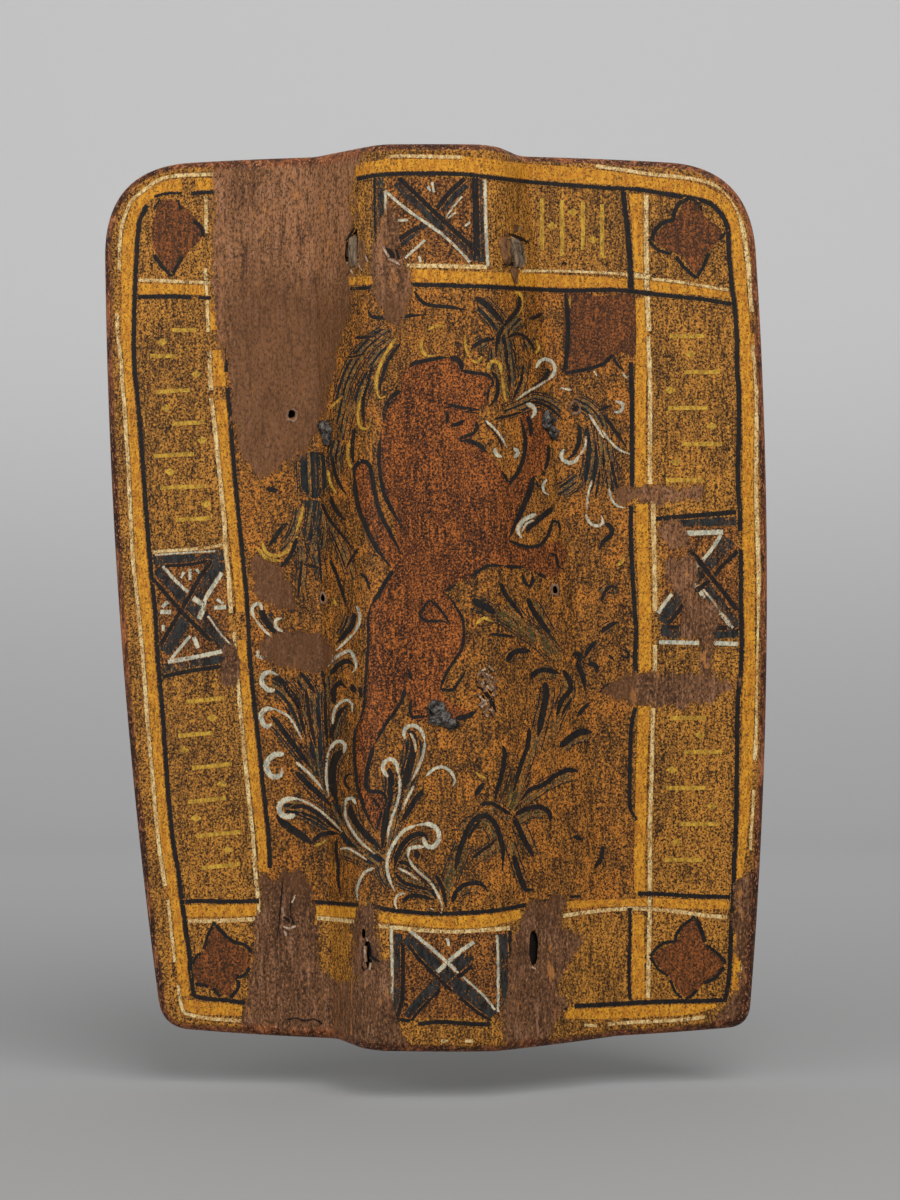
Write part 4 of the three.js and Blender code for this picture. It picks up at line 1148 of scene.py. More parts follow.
# The rampant beast: its outline
BEAST_LINES = """
3 409,368 414,363 424,361 440,358 450,357.5
4.6 450,357.5 457,359 461,364 462,371
3 462,371 475,373 487,375 493,380 492,386 488,388
2.4 489,388 488,395 487,402
3.4 491,371 496,378 498,390 495,400 489,406
3.4 400,391 392,397 387,405 384,413 384,423
2.2 397,398 390,404 385,413
3.4 380,440 379,460 381,480 386,498 395,515 404,529
3 448,404 458,407 470,409 479,410
2.4 447,412 447,424
3.6 450,426 458,424 465,420
3 466,412 472,411 477,414
3 476,421 477,428 474,433 464,437 458,439
3.8 458,439 470,441 480,446 487,452
2.6 502,471 506,478 509,484
3.4 509,484 518,472 524,455 525,440 522,425 520,417
3.6 527,416 530,425 531,437
3 549,445 548,460 544,472
4.4 534,476 530,490 524,505 518,520 510,537
2.6 543,470 545,476
2.6 536,480 538,486 543,487
3 510,541 520,545 530,547 540,545 547,537 551,526 553,521 558,522 560,530 559,538
3.8 354,476 355,466 362,461 369,465 372,477 374,490 379,510 386,525 394,540 401,554
3.8 354,476 355,490 358,507 365,525 373,543 382,556 391,568
3.6 393,571 388,578 378,595 371,605
2.4 371,605 368,618 368,640 367,660 365,685 364,705 360,720 355,730
2.8 355,730 354,750 356,775 357,785 360,795 364,808 370,822 376,832
3 405,688 403,697 395,712 385,725 374,745
3.4 374,745 368,765 366,785 370,791 380,792 385,796 386,803 382,810
2.6 407,669 410,674 412,680
2.8 411,700 410,712 412,717 418,717 428,716
4.4 456,718 466,717 476,711
4 455,720 458,726 454,728
2.6 440,689 447,672 455,660 462,648 464,632 462,618 456,607 449,597 444,592
2.4 444,592 450,588 456,584
2.6 440,689 452,690 460,680 466,670
2.4 430,600 424,607 420,616 428,621 442,621 450,624
2.4 430,600 438,607 445,616 450,624
2.6 472,576 488,566 505,566
3 505,566 514,567 524,567
3.4 523,574 525,582 530,586 533,580 532,574
3 537,574 546,577
2.4 351,790 346,785 345,778 350,774 355,776
2.4 372,797 376,803 381,809
2.4 382,810 379,820 377,830
2.4 549,553 556,556 558,566 565,570
"""
# Fronds: dark bodies, shadow strokes and curled tips
FROND_BODIES = """
11 480,302 490,312 498,322 504,334
9 520,318 512,326 505,336
12 501,330 504,345 506,362 508,378 509,392 511,404
7 497,343 495,356 499,372 503,390 507,402
8 486,340 476,346
8 526,338 531,348
7 523,365 521,380 516,394
9 505,412 520,406 536,400 550,404 560,412
9 575,400 590,408 600,420 604,440
14 592,424 596,446 594,470 588,492
9 606,440 610,470 612,492
9 580,478 570,486 558,494
10 394,340 380,352 368,368
9 372,372 362,392 356,414
9 390,330 372,342 356,360 346,380 340,402 336,424
7 352,400 346,420 342,440
9 338,440 334,458 336,474
18 312,452 313,476 314,498
13 314,500 312,520 308,542
7 300,506 298,522 290,540 280,551
8 318,510 322,532 318,556
7 328,520 338,540 346,560 352,580
7 310,540 318,560 322,580
6 300,540 302,566 300,590
10 262,614 272,628
8 352,615 348,628 340,640
8 334,668 344,660 352,660
11 272,682 284,690 294,702 304,722 312,742
14 316,684 317,704 318,724 319,744 321,764 326,784 336,806
10 300,676 310,690 318,706
8 328,676 330,692 328,710
8 342,706 336,720 332,740
7 268,718 282,732 298,752 314,772
10 340,748 332,762 330,780 334,800
9 298,768 312,784 328,802
12 284,806 302,808 320,818 338,832
9 350,803 352,818 360,834 374,848
16 336,806 346,826 358,842 372,856 384,864
7 342,852 354,856 366,862
9 389,770 391,790 388,812 384,836
12 412,736 414,752 409,772 402,792 397,812
8 398,812 392,836 386,858
8 414,792 406,806 400,822
8 424,836 412,840 402,852 396,870
10 398,866 412,872 424,884 436,898
8 396,878 410,884 424,886
7 380,862 384,876 392,888
"""
GREEN_BODIES = """
8 474,602 486,608 498,614
11 498,612 512,620 526,630 540,640 552,652 560,662
7 508,600 516,612 526,624
8 532,604 540,618 550,636
6 506,660 514,654 528,652
7 534,676 546,672 558,676
8 548,684 546,704 540,728 534,752
8 564,676 568,692 558,714 548,740
7 536,736 526,764 516,790
12 522,770 514,796 508,812
7 574,774 556,780 536,792 520,804
6 588,736 572,740 560,750
7 546,812 532,812 516,820
8 518,822 526,840 532,856
7 484,808 498,808 512,820
10 446,898 450,878 458,858 466,838
8 460,836 470,824 484,820 496,836 500,856
7 474,858 488,850 498,842
6 456,894 466,888 480,888
6 510,842 516,862 524,884
5 600,594 608,588 618,590
5 602,630 612,624
"""
FROND_SHADOWS = """
3.6 414,291 417,296 424,303 436,306 450,307 466,310
3.4 368,310 371,316 380,318 395,318 410,316 425,315
3 354,338 366,337 376,336
2 345,358 356,356 366,353
5.6 476,297 483,302 490,308 497,316 504,324
4 519,297 519,305 515,313 507,322 501,331 497,343 496,357
4 529,319 536,317 542,313
4 471,349 477,344 486,340 496,339
3.2 507,338 515,334 522,335 529,341 533,348 533,353
2.8 506,350 507,362 510,375
2 512,348 515,355 516,366
2.8 523,365 521,380 517,390 512,401
4.2 547,368 549,372 544,379 536,386 528,393 518,400
3 530,402 540,403 550,408 557,414 563,420
2.6 522,412 508,416 494,419
3.6 485,421 492,428 499,437 502,448
4 578,424 580,432 578,445 573,455 567,459
3.8 604,415 611,425 618,435 626,446
3 598,411 604,408 611,406
3 611,460 614,475 618,490 620,501
2.4 600,470 598,486 595,498
5.4 553,508 543,516 535,522 526,531
4.6 604,523 611,527 611,535 603,542 600,549
3 613,355 617,364 624,371
3.6 400,344 393,353 387,363 383,375 380,386 381,394
3.4 372,366 367,385 363,400 363,415 364,424
3.6 354,428 352,445 352,457 354,465
2.6 396,392 388,400 380,414
3.6 331,455 333,468 338,483 346,495
4 330,496 332,504 338,514 344,520
3.2 321,502 326,514 334,526 344,538 352,549
3 358,548 350,560 346,568
3 359,573 366,579 370,592
3.2 330,560 336,574 342,592 346,606
2.6 318,540 320,562 322,586
2.6 302,560 300,578 298,598
3 303,564 312,566 320,568
4.4 287,523 280,530 274,540 268,546
4 297,538 292,552 286,562 276,570
4.4 266,489 278,491
6.4 261,608 264,618 271,627 280,636
5 354,613 352,625 345,634 337,643
5 331,674 340,664 348,661 353,665
6 272,679 280,680 288,690 296,700 302,714
3.4 283,684 290,696 297,706 306,738
4 300,672 308,682 316,694
3.4 322,670 326,690
5 335,704 334,690 340,683 346,688
5 351,684 355,693
5 359,687 363,699
4.4 331,738 334,725 340,712 348,705
3.6 306,690 310,720 316,748
3.6 326,700 326,722 328,742
5 271,716 277,722 287,736 299,752 311,768
4 276,770 281,768
7 343,750 336,758 333,770 333,785 337,803
5.4 296,772 306,782 318,793 332,806
7 279,812 281,820 290,828 302,836 310,842 314,844
4 312,843 320,835 330,833 339,834
4 290,808 302,806 315,812 328,822 341,833
3 300,812 315,818 330,828
6 350,805 352,815 358,825 368,837 381,849
3.2 337,838 336,850 338,865 338,880 341,898
6 389,768 391,780 390,795 387,810 384,830 382,848
7 409,731 413,736 414,746 411,760 407,776 402,792
2.4 395,782 402,778
2.4 393,788 402,783
2.4 393,793 401,789
2.4 398,797 404,792
5 423,791 415,800 408,812 401,822
5 428,840 422,834 412,836 403,844 397,856 394,870
6 416,850 418,859
4 398,862 408,864 420,875 433,888
3.4 396,874 404,883 415,886 431,891
4 436,875 443,890 446,907
4 402,903 408,897 420,896 434,900
7 472,600 480,604 490,609 496,613
4.2 501,583 506,595 514,605 520,613 524,619
5 528,598 533,610 541,622 551,636
3 490,634 500,635 516,637
5.6 508,662 511,655 519,651 531,651
5 531,679 535,673 542,670 552,671 560,674
6 545,682 546,695 543,712 538,737
5 563,670 569,680 570,690 562,700 556,717
3 572,698 566,707 561,717
5 572,654 580,655 578,664 583,678 585,690
4.4 596,641 588,650 585,657
5 587,664 595,665 597,673
3.2 600,692 607,685 615,683
4 577,716 583,709 590,702
6.4 560,747 570,738 580,732 592,732
4.2 530,728 528,745 523,760 519,772 514,792
4.4 503,746 505,755 502,775 497,790 495,799
4.6 578,771 568,770 556,775 543,785 530,790 521,801
4.4 551,821 549,812 540,807 530,808 520,812 512,819
5.4 513,816 520,830 526,843 534,857
4 480,805 490,803 500,808 513,816
5 455,870 460,850 466,833 474,820 482,816 490,818 497,828 502,845 503,860 502,871
3.2 468,838 475,827 481,820
3.2 473,858 480,852 490,845 497,838
5.4 514,855 518,870 522,882 526,890 534,889
4.4 453,902 456,892 464,885 475,883 483,885 488,892
3.2 601,601 605,592 612,586 619,588
4.4 601,632 609,626 618,622
3 609,655 614,661
3 620,655 627,658 628,652 622,650
4 603,846 601,858 594,869
4 573,836 583,840
5 484,783 479,790 475,796
"""
FROND_TIPS = """
4 536,368 539,362 545,359 552,362 555,368 553,375 546,381
2.4 546,381 538,386 527,392 516,400
2.4 485,420 494,428 502,438 507,448
4.6 495,448 496,454 502,457
4.6 514,448 518,453 514,458
5 526,404 532,406 535,412 531,418
2.4 560,388 572,390
4.4 564,449 561,456 566,462 574,462 580,455
2.4 580,455 585,447 586,436
2.6 589,414 596,425 604,438
2.4 602,430 610,441 620,450 630,454
3.8 616,401 623,404 621,411 614,412
5 594,371 597,376
2.6 622,372 627,378
2.6 609,488 612,500 618,506 626,508
3.4 586,514 589,522 596,526 603,523 601,515
2.2 592,480 588,495 587,510
4.6 536,514 524,520 518,530 522,538
2.4 534,520 526,524 522,532
3.2 547,479 543,485 544,492 549,495
4 262,610 260,604 254,605 252,612 256,620
2.8 256,620 264,630 273,638
4.4 268,654 262,658 257,655 260,649
3.6 283,632 276,627 276,620 282,618
3.6 356,606 359,612 359,623 353,634
2.8 353,634 344,643 336,651
3.8 328,667 334,659 343,653 350,651 354,658 356,667 352,673
5.4 275,690 268,690 262,683 263,675 270,672 278,675
5.6 272,724 267,727 262,722 261,714 266,709 275,709
2.6 275,709 288,716 296,727 302,740
6.4 284,754 274,755 267,762 267,770 273,777 281,775 282,768
3 333,724 335,710 341,702 348,700 352,704 352,712
3.8 344,753 345,745 340,741 334,744 329,752
2.8 329,752 327,765 327,780 329,797
3 296,762 303,768 312,776 323,790
6 295,815 286,817 280,812 280,804 288,799 298,799
2.4 298,799 310,804 322,812 333,822 342,832
4 356,804 352,798 347,799 345,806
2.8 345,806 346,818 352,830 362,843 375,854
2.4 340,849 347,848 355,852 367,860
4.8 388,777 383,770 384,763 390,759 396,763 399,775
3 399,775 400,786 398,800 393,815 389,830 387,842
4.2 405,739 404,731 409,726 416,726 422,732 425,742
3 425,742 423,755 418,768 412,780
2 410,733 414,740 416,752
2.8 414,786 408,797 402,810
5.4 423,837 426,845 433,847 439,839 437,829 428,824 417,825
3.8 417,825 405,830 396,840 389,853 387,866 389,878 395,892
4 424,847 416,847 409,849 408,857
2.6 408,857 413,866 421,874 430,882 437,893 442,905 441,913
2.8 406,893 398,895 395,902 397,909
2.4 398,868 408,873 418,880
3 374,868 365,872 360,880 357,890 358,901
3.4 426,776 434,769 443,767 451,772 455,781 452,787
3 430,908 434,910
"""
YELLOW_TIPS = """
3.4 515,294 517,291 521,296 521,306 517,316
3.4 488,373 489,365 494,361 500,365 502,376
2.4 502,376 504,390 506,402
3 472,360 478,362 482,356
2.4 465,335 466,348 470,358
2.4 536,340 539,348 535,354
3 423,337 421,348 427,356 436,356
2.4 428,330 436,326 446,326
3 396,338 385,355 378,372 376,388 380,398 386,396
2.6 370,372 361,398 357,416 361,428 368,428 371,418
2.6 349,440 347,455 350,466 356,468 359,460
2.4 327,470 330,484 336,494
3.4 262,542 266,552 276,556 288,550 298,536
4 258,548 266,558 280,561
3 303,506 300,520 296,532
3 476,624 484,618 494,622
3 334,598 336,606
3 476,772 480,776 486,778
2 335,860 337,880 341,898
2.4 314,846 320,844 326,840
2.4 570,296 569,312
1.8 329,408 336,402 342,396
3 616,566 622,562 624,556
3 482,886 488,890 488,896
"""
# Plain bars and lozenges in the outer panels
PANEL_MARKS = """
4 172,330 196,330
4 150,356 176,356
4 156,392 190,390
4 172,424 204,422
4 154,456 194,454
4 160,488 206,486
4 176,520 212,518
4 186,702 224,698
4 178,736 212,733
4 192,768 232,764
4 188,802 226,798
4 196,836 240,832
4 202,868 240,864
4 670,336 704,336
4 684,372 720,372
4 668,408 708,408
4 682,444 722,444
4 666,480 704,480
4 670,718 706,718
4 684,752 722,752
4 666,788 706,788
4 680,824 718,824
4 664,860 702,860
4 542,198 542,250
4 562,200 562,256
4 583,202 583,250
4 602,204 602,258
"""


def lozenges():
    """Small lozenges between the panel's bars, as short thick strokes."""
    places = [(162, 342), (196, 374), (166, 408), (202, 440), (170, 472), (206, 504), (212, 718), (184, 750),
              (222, 784), (196, 818), (228, 850), (690, 354), (670, 390), (712, 426), (676, 462), (700, 735),
              (672, 770), (712, 806), (676, 842), (552, 226), (573, 212), (593, 240)]
    return "\n".join(f"7 {x - 5},{y},1 {x},{y},8 {x + 5},{y},1" for x, y in places)


make_strokes("ochre_bands", "ochre", OCHRE_BANDS, 0.08)
make_strokes("panel_marks", "yellow", PANEL_MARKS + lozenges(), 0.1)
ALL_BODIES = FROND_BODIES + GREEN_BODIES
make_strokes("frond_haze", "haze", ALL_BODIES, 0.06, brushed=True, growth=2.1)
make_strokes("green_fronds", "green", GREEN_BODIES, 0.1, brushed=True)
make_strokes("dark_fronds", "dark", FROND_BODIES, 0.1, brushed=True, growth=1.4)
make_strokes("frond_hatching", "dark", inner_lines(ALL_BODIES, (-1.7, 1.8)), 0.13, brushed=True)
make_strokes("frond_veins", "vein", inner_lines(ALL_BODIES, (-0.75, 0.4)), 0.15, brushed=True)
make_strokes("crossed_bars", "blue", BAR_BODIES, 0.12)
make_strokes("cream_lines", "cream", CREAM_LINES, 0.16)
make_strokes("bar_lights", "pale", BAR_LIGHTS, 0.2)
make_strokes("yellow_tips", "yellow", YELLOW_TIPS, 0.18, brushed=True)
make_strokes("black_lines", "black", BLACK_LINES + BAR_SHADOWS + LEAF_LINES, 0.22)
make_strokes("beast_outline", "black", BEAST_LINES, 0.22, brushed=True, growth=1.3)
make_strokes("frond_shadows", "black", FROND_SHADOWS, 0.2, brushed=True, growth=1.12)
make_strokes("frond_tips", "pale", FROND_TIPS, 0.24, brushed=True, growth=0.85)

# Tears and small holes in the hide drawn as black strokes, painted shade for their openings, and the pale
# fibres at their edges
TEARS = """
2.6 346,241,1.6 349,237 352,232 355,228,1.6
3 508,234,1.6 515,236,3.4 522,239.5,3.4 529,243.5,1.6
4.6 503,265,1.6 509,263.5 514,264 518,268,2
3.2 371,956 375,959.5 379.5,961.5,1.6
2.4 362.5,966 364,971
4.4 477,687,1.6 483,689.5 488,696,5 493,704,5 496,712,1.8
3 496,689,1.6 493.5,697 490.5,703,1.6
2.4 479,706.5 485,704.5
2 481,676 486,679
6.6 384,247.5,1.6 388,251,6 392,256,7 394,261,2
3 396,246 397,252 399,259
1.8 283,878,1 281.5,895 279.5,915 277,938,1
1.6 292,892,1 290.5,905 291,919
3 283,917.5,1.4 287,919 290,922.5,1.4
2 292,919 294,925
1.6 287,1020 296,1018 306,1021 314,1019 322,1024
4 563,262.6,3 566.6,264.6,3
5.4 573,408 577.4,408.6
"""
FIBRES = """
1.8 383,246.5 385,251 389,257.5
3 388.5,259,1.4 394,260.8 400,265,1
1.6 365,946 364.6,955 365.5,962
1.4 366,937.5 368,941
1.6 371,963 369.5,970
1.6 484,677 490,681 494,689
1.8 479,682 484,687 487,691
2 496,689.5 493,696
2 481,707 487,703
2 484,711 488,716.5
1.6 486,673.5 493,678
2 487,685.5 492.5,690.5
1.6 478,694 482,699
1.6 489,666 494,671
1.6 491,682 487,678 483,680 484,684
1.6 480,697 484,701 489,700
1.6 490,709 494,712
1.6 478,676 481,671 486,669
1.6 282,907 284,916
2.6 283,926.5,1.4 289,928.5 295.5,926,1.4
1.8 284,931 286,936
1.4 295,895 292,903
1.4 347,262 349.5,269 353,273.5
1.4 358,263 362,270.5
1.4 365,255 368,262
1.6 532,967 536,969
"""
# Painted shade: black strips set in the lower slots just under the hide, standing for the deep shadow in them
SLOT_SHADOWS = """
15 366,922 367,978
15 533,924 533,974
"""
make_strokes("slot_shadows", "gap", SLOT_SHADOWS, -2.35)
make_strokes("tears_painted_shade", "gap", TEARS, 0.3)
make_strokes("pale_fibres", "fibre", FIBRES, 0.36)


# Fittings that show on the face

def spot_on_face(px, py):
    """A place on the face with its directions to the right, up and out."""
    spots = on_face([px, px + 3, px], [py, py, py - 3])
    right = (spots[1] - spots[0]) / np.linalg.norm(spots[1] - spots[0])
    out = np.cross(right, spots[2] - spots[0])
    out /= np.linalg.norm(out)
    return spots[0], right, np.cross(out, right), out


def set_on_face(piece, spot, turn=0.0):
    """Moves a piece, written in millimetres right, up and out, to its spot."""
    place, right, up, out = spot
    for vertex in piece.data.vertices:
        across, high, proud = vertex.co
        a = across * math.cos(turn) - high * math.sin(turn)
        b = across * math.sin(turn) + high * math.cos(turn)
        vertex.co = (place + right * a + up * b + out * proud) * MM
    piece.data.update()


# Nails: place of the shank, where the head sits, the clinched point's pixel and turn, and its lumps'
# middles, half sizes and turns in millimetres
NAILS = {
    "nail_left": (-68.9, 63.3, 9.0, (325, 433), 0.2,
                  [(-1.2, 3.8, 5.4, 4.2, 3, 0.3), (1, -4, 4.6, 4.6, 3, 0.9), (-3.4, 6, 2.6, 2.4, 2, 0),
                   (3.6, 1, 2.6, 3, 2.2, 0.4)]),
    "nail_right": (66.4, 67.7, 9.0, (549, 426), -0.5,
                   [(-2.4, 1.8, 5.4, 5.8, 3.6, 0.5), (4.6, -2, 4, 5, 3, 1.2), (-4.4, 5.6, 2.8, 3, 2.4, 0),
                    (1.5, 5, 3, 2, 2.6, 0.8)]),
    "nail_foot": (1.8, -110.7, -34.0, (440, 715), -0.35,
                  [(-3.4, 2.8, 6, 5.2, 3.2, 0.4), (3.2, -1.4, 5, 5.6, 2.8, 1.0),
                   (-1.4, -3.6, 5, 3.4, 2.4, 0.1), (8.6, -3, 2.6, 4.4, 1.8, 0)]),
}
HEAD_RADIUS = 7.3
HEAD_HEIGHT = 3.7
NAIL_SHANK = 4.0
FORGED_VOXEL = 0.24


def hammer(piece, seed, blows=16):
    """Flattens a lump where hammer blows fell."""
    for blow in range(blows):
        angle, tilt = 2.4 * blow + seed, 0.25 + 0.9 * ((blow * 0.618 + seed) % 1)
        face = Vector((math.cos(angle) * math.sin(tilt), math.sin(angle) * math.sin(tilt), math.cos(tilt)))
        reach = max(vertex.co.dot(face) for vertex in piece.data.vertices) * 0.9
        for vertex in piece.data.vertices:
            beyond = vertex.co.dot(face) - reach
            if beyond > 0:
                vertex.co -= face * beyond * 0.9


def forged_lump(across, up, half_width, half_height, proud, lean, seed, lift=0.6):
    bpy.ops.mesh.primitive_ico_sphere_add(subdivisions=4, radius=1)
    lump = bpy.context.object
    for vertex in lump.data.vertices:
        vertex.co = (vertex.co.x * half_width, vertex.co.y * half_height, vertex.co.z * proud)
    hammer(lump, seed)
    for vertex in lump.data.vertices:
        a, b, c = vertex.co
        dent = 0.8 * ragged(a + 9 * seed, b + c, 1.9) + 0.4 * ragged(a, b + 9 * seed, 0.8)
        vertex.co = (across + (a * math.cos(lean) - b * math.sin(lean)) * (1 + dent * 0.2),
                     up + (a * math.sin(lean) + b * math.cos(lean)) * (1 + dent * 0.2), lift + c + dent)
    return lump


def make_nails():
    """Each nail: its clinched point on the face, its square shank and its head on the handle."""
    for number, (node, (x, z, seat, pixel, turn, lumps)) in enumerate(NAILS.items()):
        forged = [forged_lump(*lump, number + 1.7 * index) for index, lump in enumerate(lumps)]
        point = join_pieces("clinch", forged)
        set_on_face(point, spot_on_face(*pixel), turn)
        apply_modifier(point, "REMESH", mode="VOXEL", voxel_size=FORGED_VOXEL * MM)
        head = forged_lump(0, 0, HEAD_RADIUS, HEAD_RADIUS, HEAD_HEIGHT, 0.5, number + 5, 0)
        set_on_face(head, (np.array([x, seat + 0.2, z]), *np.array([(-1, 0, 0), (0, 0, 1), (0, 1, 0)])))
        for vertex in head.data.vertices:
            vertex.co.y = max(vertex.co.y, (seat + 0.1) * MM)
        foot = on_face([pixel[0]], [pixel[1]])[0]
        bpy.ops.mesh.primitive_cube_add(size=1)
        shank = bpy.context.object
        for vertex in shank.data.vertices:
            vertex.co = (vertex.co.x * NAIL_SHANK + x, foot[1] + 1 if vertex.co.y < 0 else seat + 1,
                         vertex.co.z * NAIL_SHANK + z)
            vertex.co *= MM
        dress_piece(join_pieces("forged_" + node, [point, head, shank]), "iron", "wrought_iron", node)


# Stubs of old rivets left deep in their holes and in the torn hole: place, half width and half height
STUBS = [(-89.2, 73.8, 3.2, 3.4), (84.9, 78.1, 3.2, 3.2), (-70.1, -38.7, 3, 3.2), (72.6, -33.8, 3, 3.2),
         (30.7, -95.3, 4, 3.6)]
STUB_DEPTH = 5.0


def make_stubs():
    stubs = []
    for number, (x, z, half_width, half_height) in enumerate(STUBS):
        stub = forged_lump(0, 0, half_width, half_height, 3.2, 0, number + 11, 0)
        foot = foot_below(np.array([float(x)]), np.array([float(z)]), FACE - STUB_DEPTH)
        place = at_depth(*foot, FACE - STUB_DEPTH - 3)[0]
        set_on_face(stub, (place, *np.array([(1, 0, 0), (0, 0, 1), (0, -1, 0)])))
        stubs.append(stub)
    dress_piece(join_pieces("rivet_stubs", stubs), "rust", "wrought_iron")


# Rims pushed up round the holes: place in pixels, radius and height
HOLE_RIMS = [(292, 415, 3.3, 0.9), (575, 408, 3.4, 1.3), (323, 598, 3, 0.8), (555, 590, 3, 0.8)]


def torus(around, across, radius, thickness):
    bpy.ops.mesh.primitive_torus_add(major_segments=around, minor_segments=across, major_radius=radius,
                                     minor_radius=thickness)
    return bpy.context.object


def make_hole_rims():
    rims = []
    for px, py, radius, height in HOLE_RIMS:
        rim = torus(44, 10, radius, 0.8)
        for vertex in rim.data.vertices:
            a, b, c = vertex.co
            uneven = 1 + 0.24 * ragged(a + px, b, 2.2)
            vertex.co = (a * uneven, b * uneven * 1.05, c * height * (0.8 + 0.6 * ragged(b, a + py, 1.8)))
        set_on_face(rim, spot_on_face(px, py))
        rims.append(rim)
    dress_piece(join_pieces("hole_rims", rims), "scraped", "front_hide")


def make_fold(name, spot, width, height, proud, creases, turn, bow=0.0, look="rawhide"):
    """Rawhide doubled over in its slot, wrinkled along its length."""
    across, up = np.meshgrid(np.linspace(-1, 1, 41), np.linspace(-1, 1, 37))
    swell = np.sqrt(np.maximum(1 - up ** 4, 0))
    uneven = np.array([[ragged(4 * a + width, 2.2 * b + height, 0.9) for a in across[0]] for b in up[:, 0]])
    wrinkles = creases * np.cos(across * width * 1.6 + 1.2 * np.sin(2.4 * up) + 0.9 * uneven)
    wrinkles = wrinkles * (1 - np.abs(across) ** 3)
    depth = -0.7 + (proud + 0.7) * np.sqrt(np.maximum(1 - np.abs(across) ** 2.6, 0)) * (0.2 + 0.8 * swell)
    points = np.stack([across * width / 2 * (0.35 + 0.65 * swell) + 0.5 * uneven + bow * (1 - up ** 2),
                       up * height / 2 + 0.4 * uneven, depth + wrinkles + 0.35 * uneven], axis=-1)
    fold = grid_piece(name, points / MM)
    apply_modifier(fold, "SOLIDIFY", thickness=0.9, offset=-1)
    set_on_face(fold, spot, turn)
    dress_piece(fold, look, "rawhide" if look == "rawhide" else "front_hide")


# Thongs: height, then for each end its x and how far its fold stands out of the face, below zero inside it
THONGS = {
    "thong_upper": (176.0, [(-52.3, -4.5), (48.0, -3.6)]),
    "thong_lower": (-254.0, [(-42.4, -6.0), (59.0, -6.0)]),
}
THONG_THICKNESS = 2.5
THONG_LEG = 5.7
THONG_WIDTH = 19.4
THONG_ROOM = 0.7
SLOT_HALF = 3.2


def wall_y(x, z, depth):
    foot = foot_below(np.array([float(x)]), np.array([float(z)]), depth)
    return float(at_depth(*foot, depth)[0, 1])


def thong_profile(z, ends):
    """The thong from above: a strip behind the ridge with a doubled leg through each slot."""
    legs = []
    for (x, proud), side in zip(ends, (1, -1)):
        behind = max(wall_y(x + side * SLOT_HALF, z + up * THONG_WIDTH / 2, -BACK) for up in (-1, 1))
        legs.append((x, behind + THONG_ROOM + THONG_THICKNESS, wall_y(x, z, FACE) - proud))
    (left, left_behind, left_before), (right, right_behind, right_before) = legs
    half = THONG_LEG / 2
    arc = [(half * math.cos(angle), half * math.sin(angle)) for angle in np.linspace(math.pi, 0, 9)]
    profile = [(left - half, left_behind - 1)]
    profile += [(left + a, left_before + half - b) for a, b in arc]
    profile += [(left + half, left_behind - THONG_THICKNESS), (right - half, right_behind - THONG_THICKNESS)]
    profile += [(right + a, right_before + half - b) for a, b in arc]
    profile += [(right + half, right_behind - 1), (right + half - 1, right_behind)]
    profile.append((left - half + 1, left_behind))
    return np.array(profile)


def bridge_rings(mesh, rings, turned=False):
    """Faces between closed rings of points, the other way round where they are turned."""
    for low, high in zip(rings, rings[1:]):
        for index in range(len(low)):
            after = (index + 1) % len(low)
            corners = (low[index], low[after], high[after], high[index])
            mesh.faces.new(corners[:1] + corners[:0:-1] if turned else corners)


def mesh_piece(name, mesh):
    bpy.ops.mesh.primitive_plane_add(size=1)
    piece = bpy.context.object
    piece.name = name
    mesh.to_mesh(piece.data)
    mesh.free()
    return piece


def make_thong(node, z, ends):
    profile = thong_profile(z, ends)
    dense = []
    for start, end in zip(profile, np.roll(profile, -1, axis=0)):
        count = max(1, int(np.linalg.norm(end - start) / 1.1))
        dense += [start + (end - start) * share for share in np.arange(count) / count]
    mesh = bmesh.new()
    rings = []
    for up in np.linspace(-1, 1, 19):
        ring = []
        for x, y in dense:
            waver = 0.35 * ragged(x, y + 9 * up, 3.2)
            fold = 0.2 * math.cos(4 * x + 2 * up)
            height = z + up * THONG_WIDTH / 2 + 0.7 * ragged(x, y, 5) * up
            ring.append(mesh.verts.new(Vector((x + waver, y + waver * 0.6 + fold, height)) * MM))
        rings.append(ring)
    bridge_rings(mesh, rings, turned=True)
    mesh.faces.new(rings[0])
    mesh.faces.new(rings[-1][::-1])
    bmesh.ops.recalc_face_normals(mesh, faces=mesh.faces)
    thong = mesh_piece(node.replace("thong", "rawhide_thong"), mesh)
    dress_piece(thong, "rawhide", "rawhide", node)


# The leather sleeve on the grip
SLEEVE_HALF_WIDTH = 15.2
SLEEVE_HALF_DEPTH = 11.2
SLEEVE_SQUARENESS = 4.2
SLEEVE_HALF_LENGTH = 41.8
SLEEVE_THICKNESS = 1.8
SEAM_STITCHES = 14


def sleeve_round(share):
    """A place and its outward direction round the sleeve, from the middle of its front."""
    angle = 2 * math.pi * share - math.pi / 2
    direction = Vector((math.cos(angle), math.sin(angle)))
    across = abs(direction.x / SLEEVE_HALF_WIDTH) ** SLEEVE_SQUARENESS
    deep = abs(direction.y / SLEEVE_HALF_DEPTH) ** SLEEVE_SQUARENESS
    return direction * (across + deep) ** (-1 / SLEEVE_SQUARENESS), direction


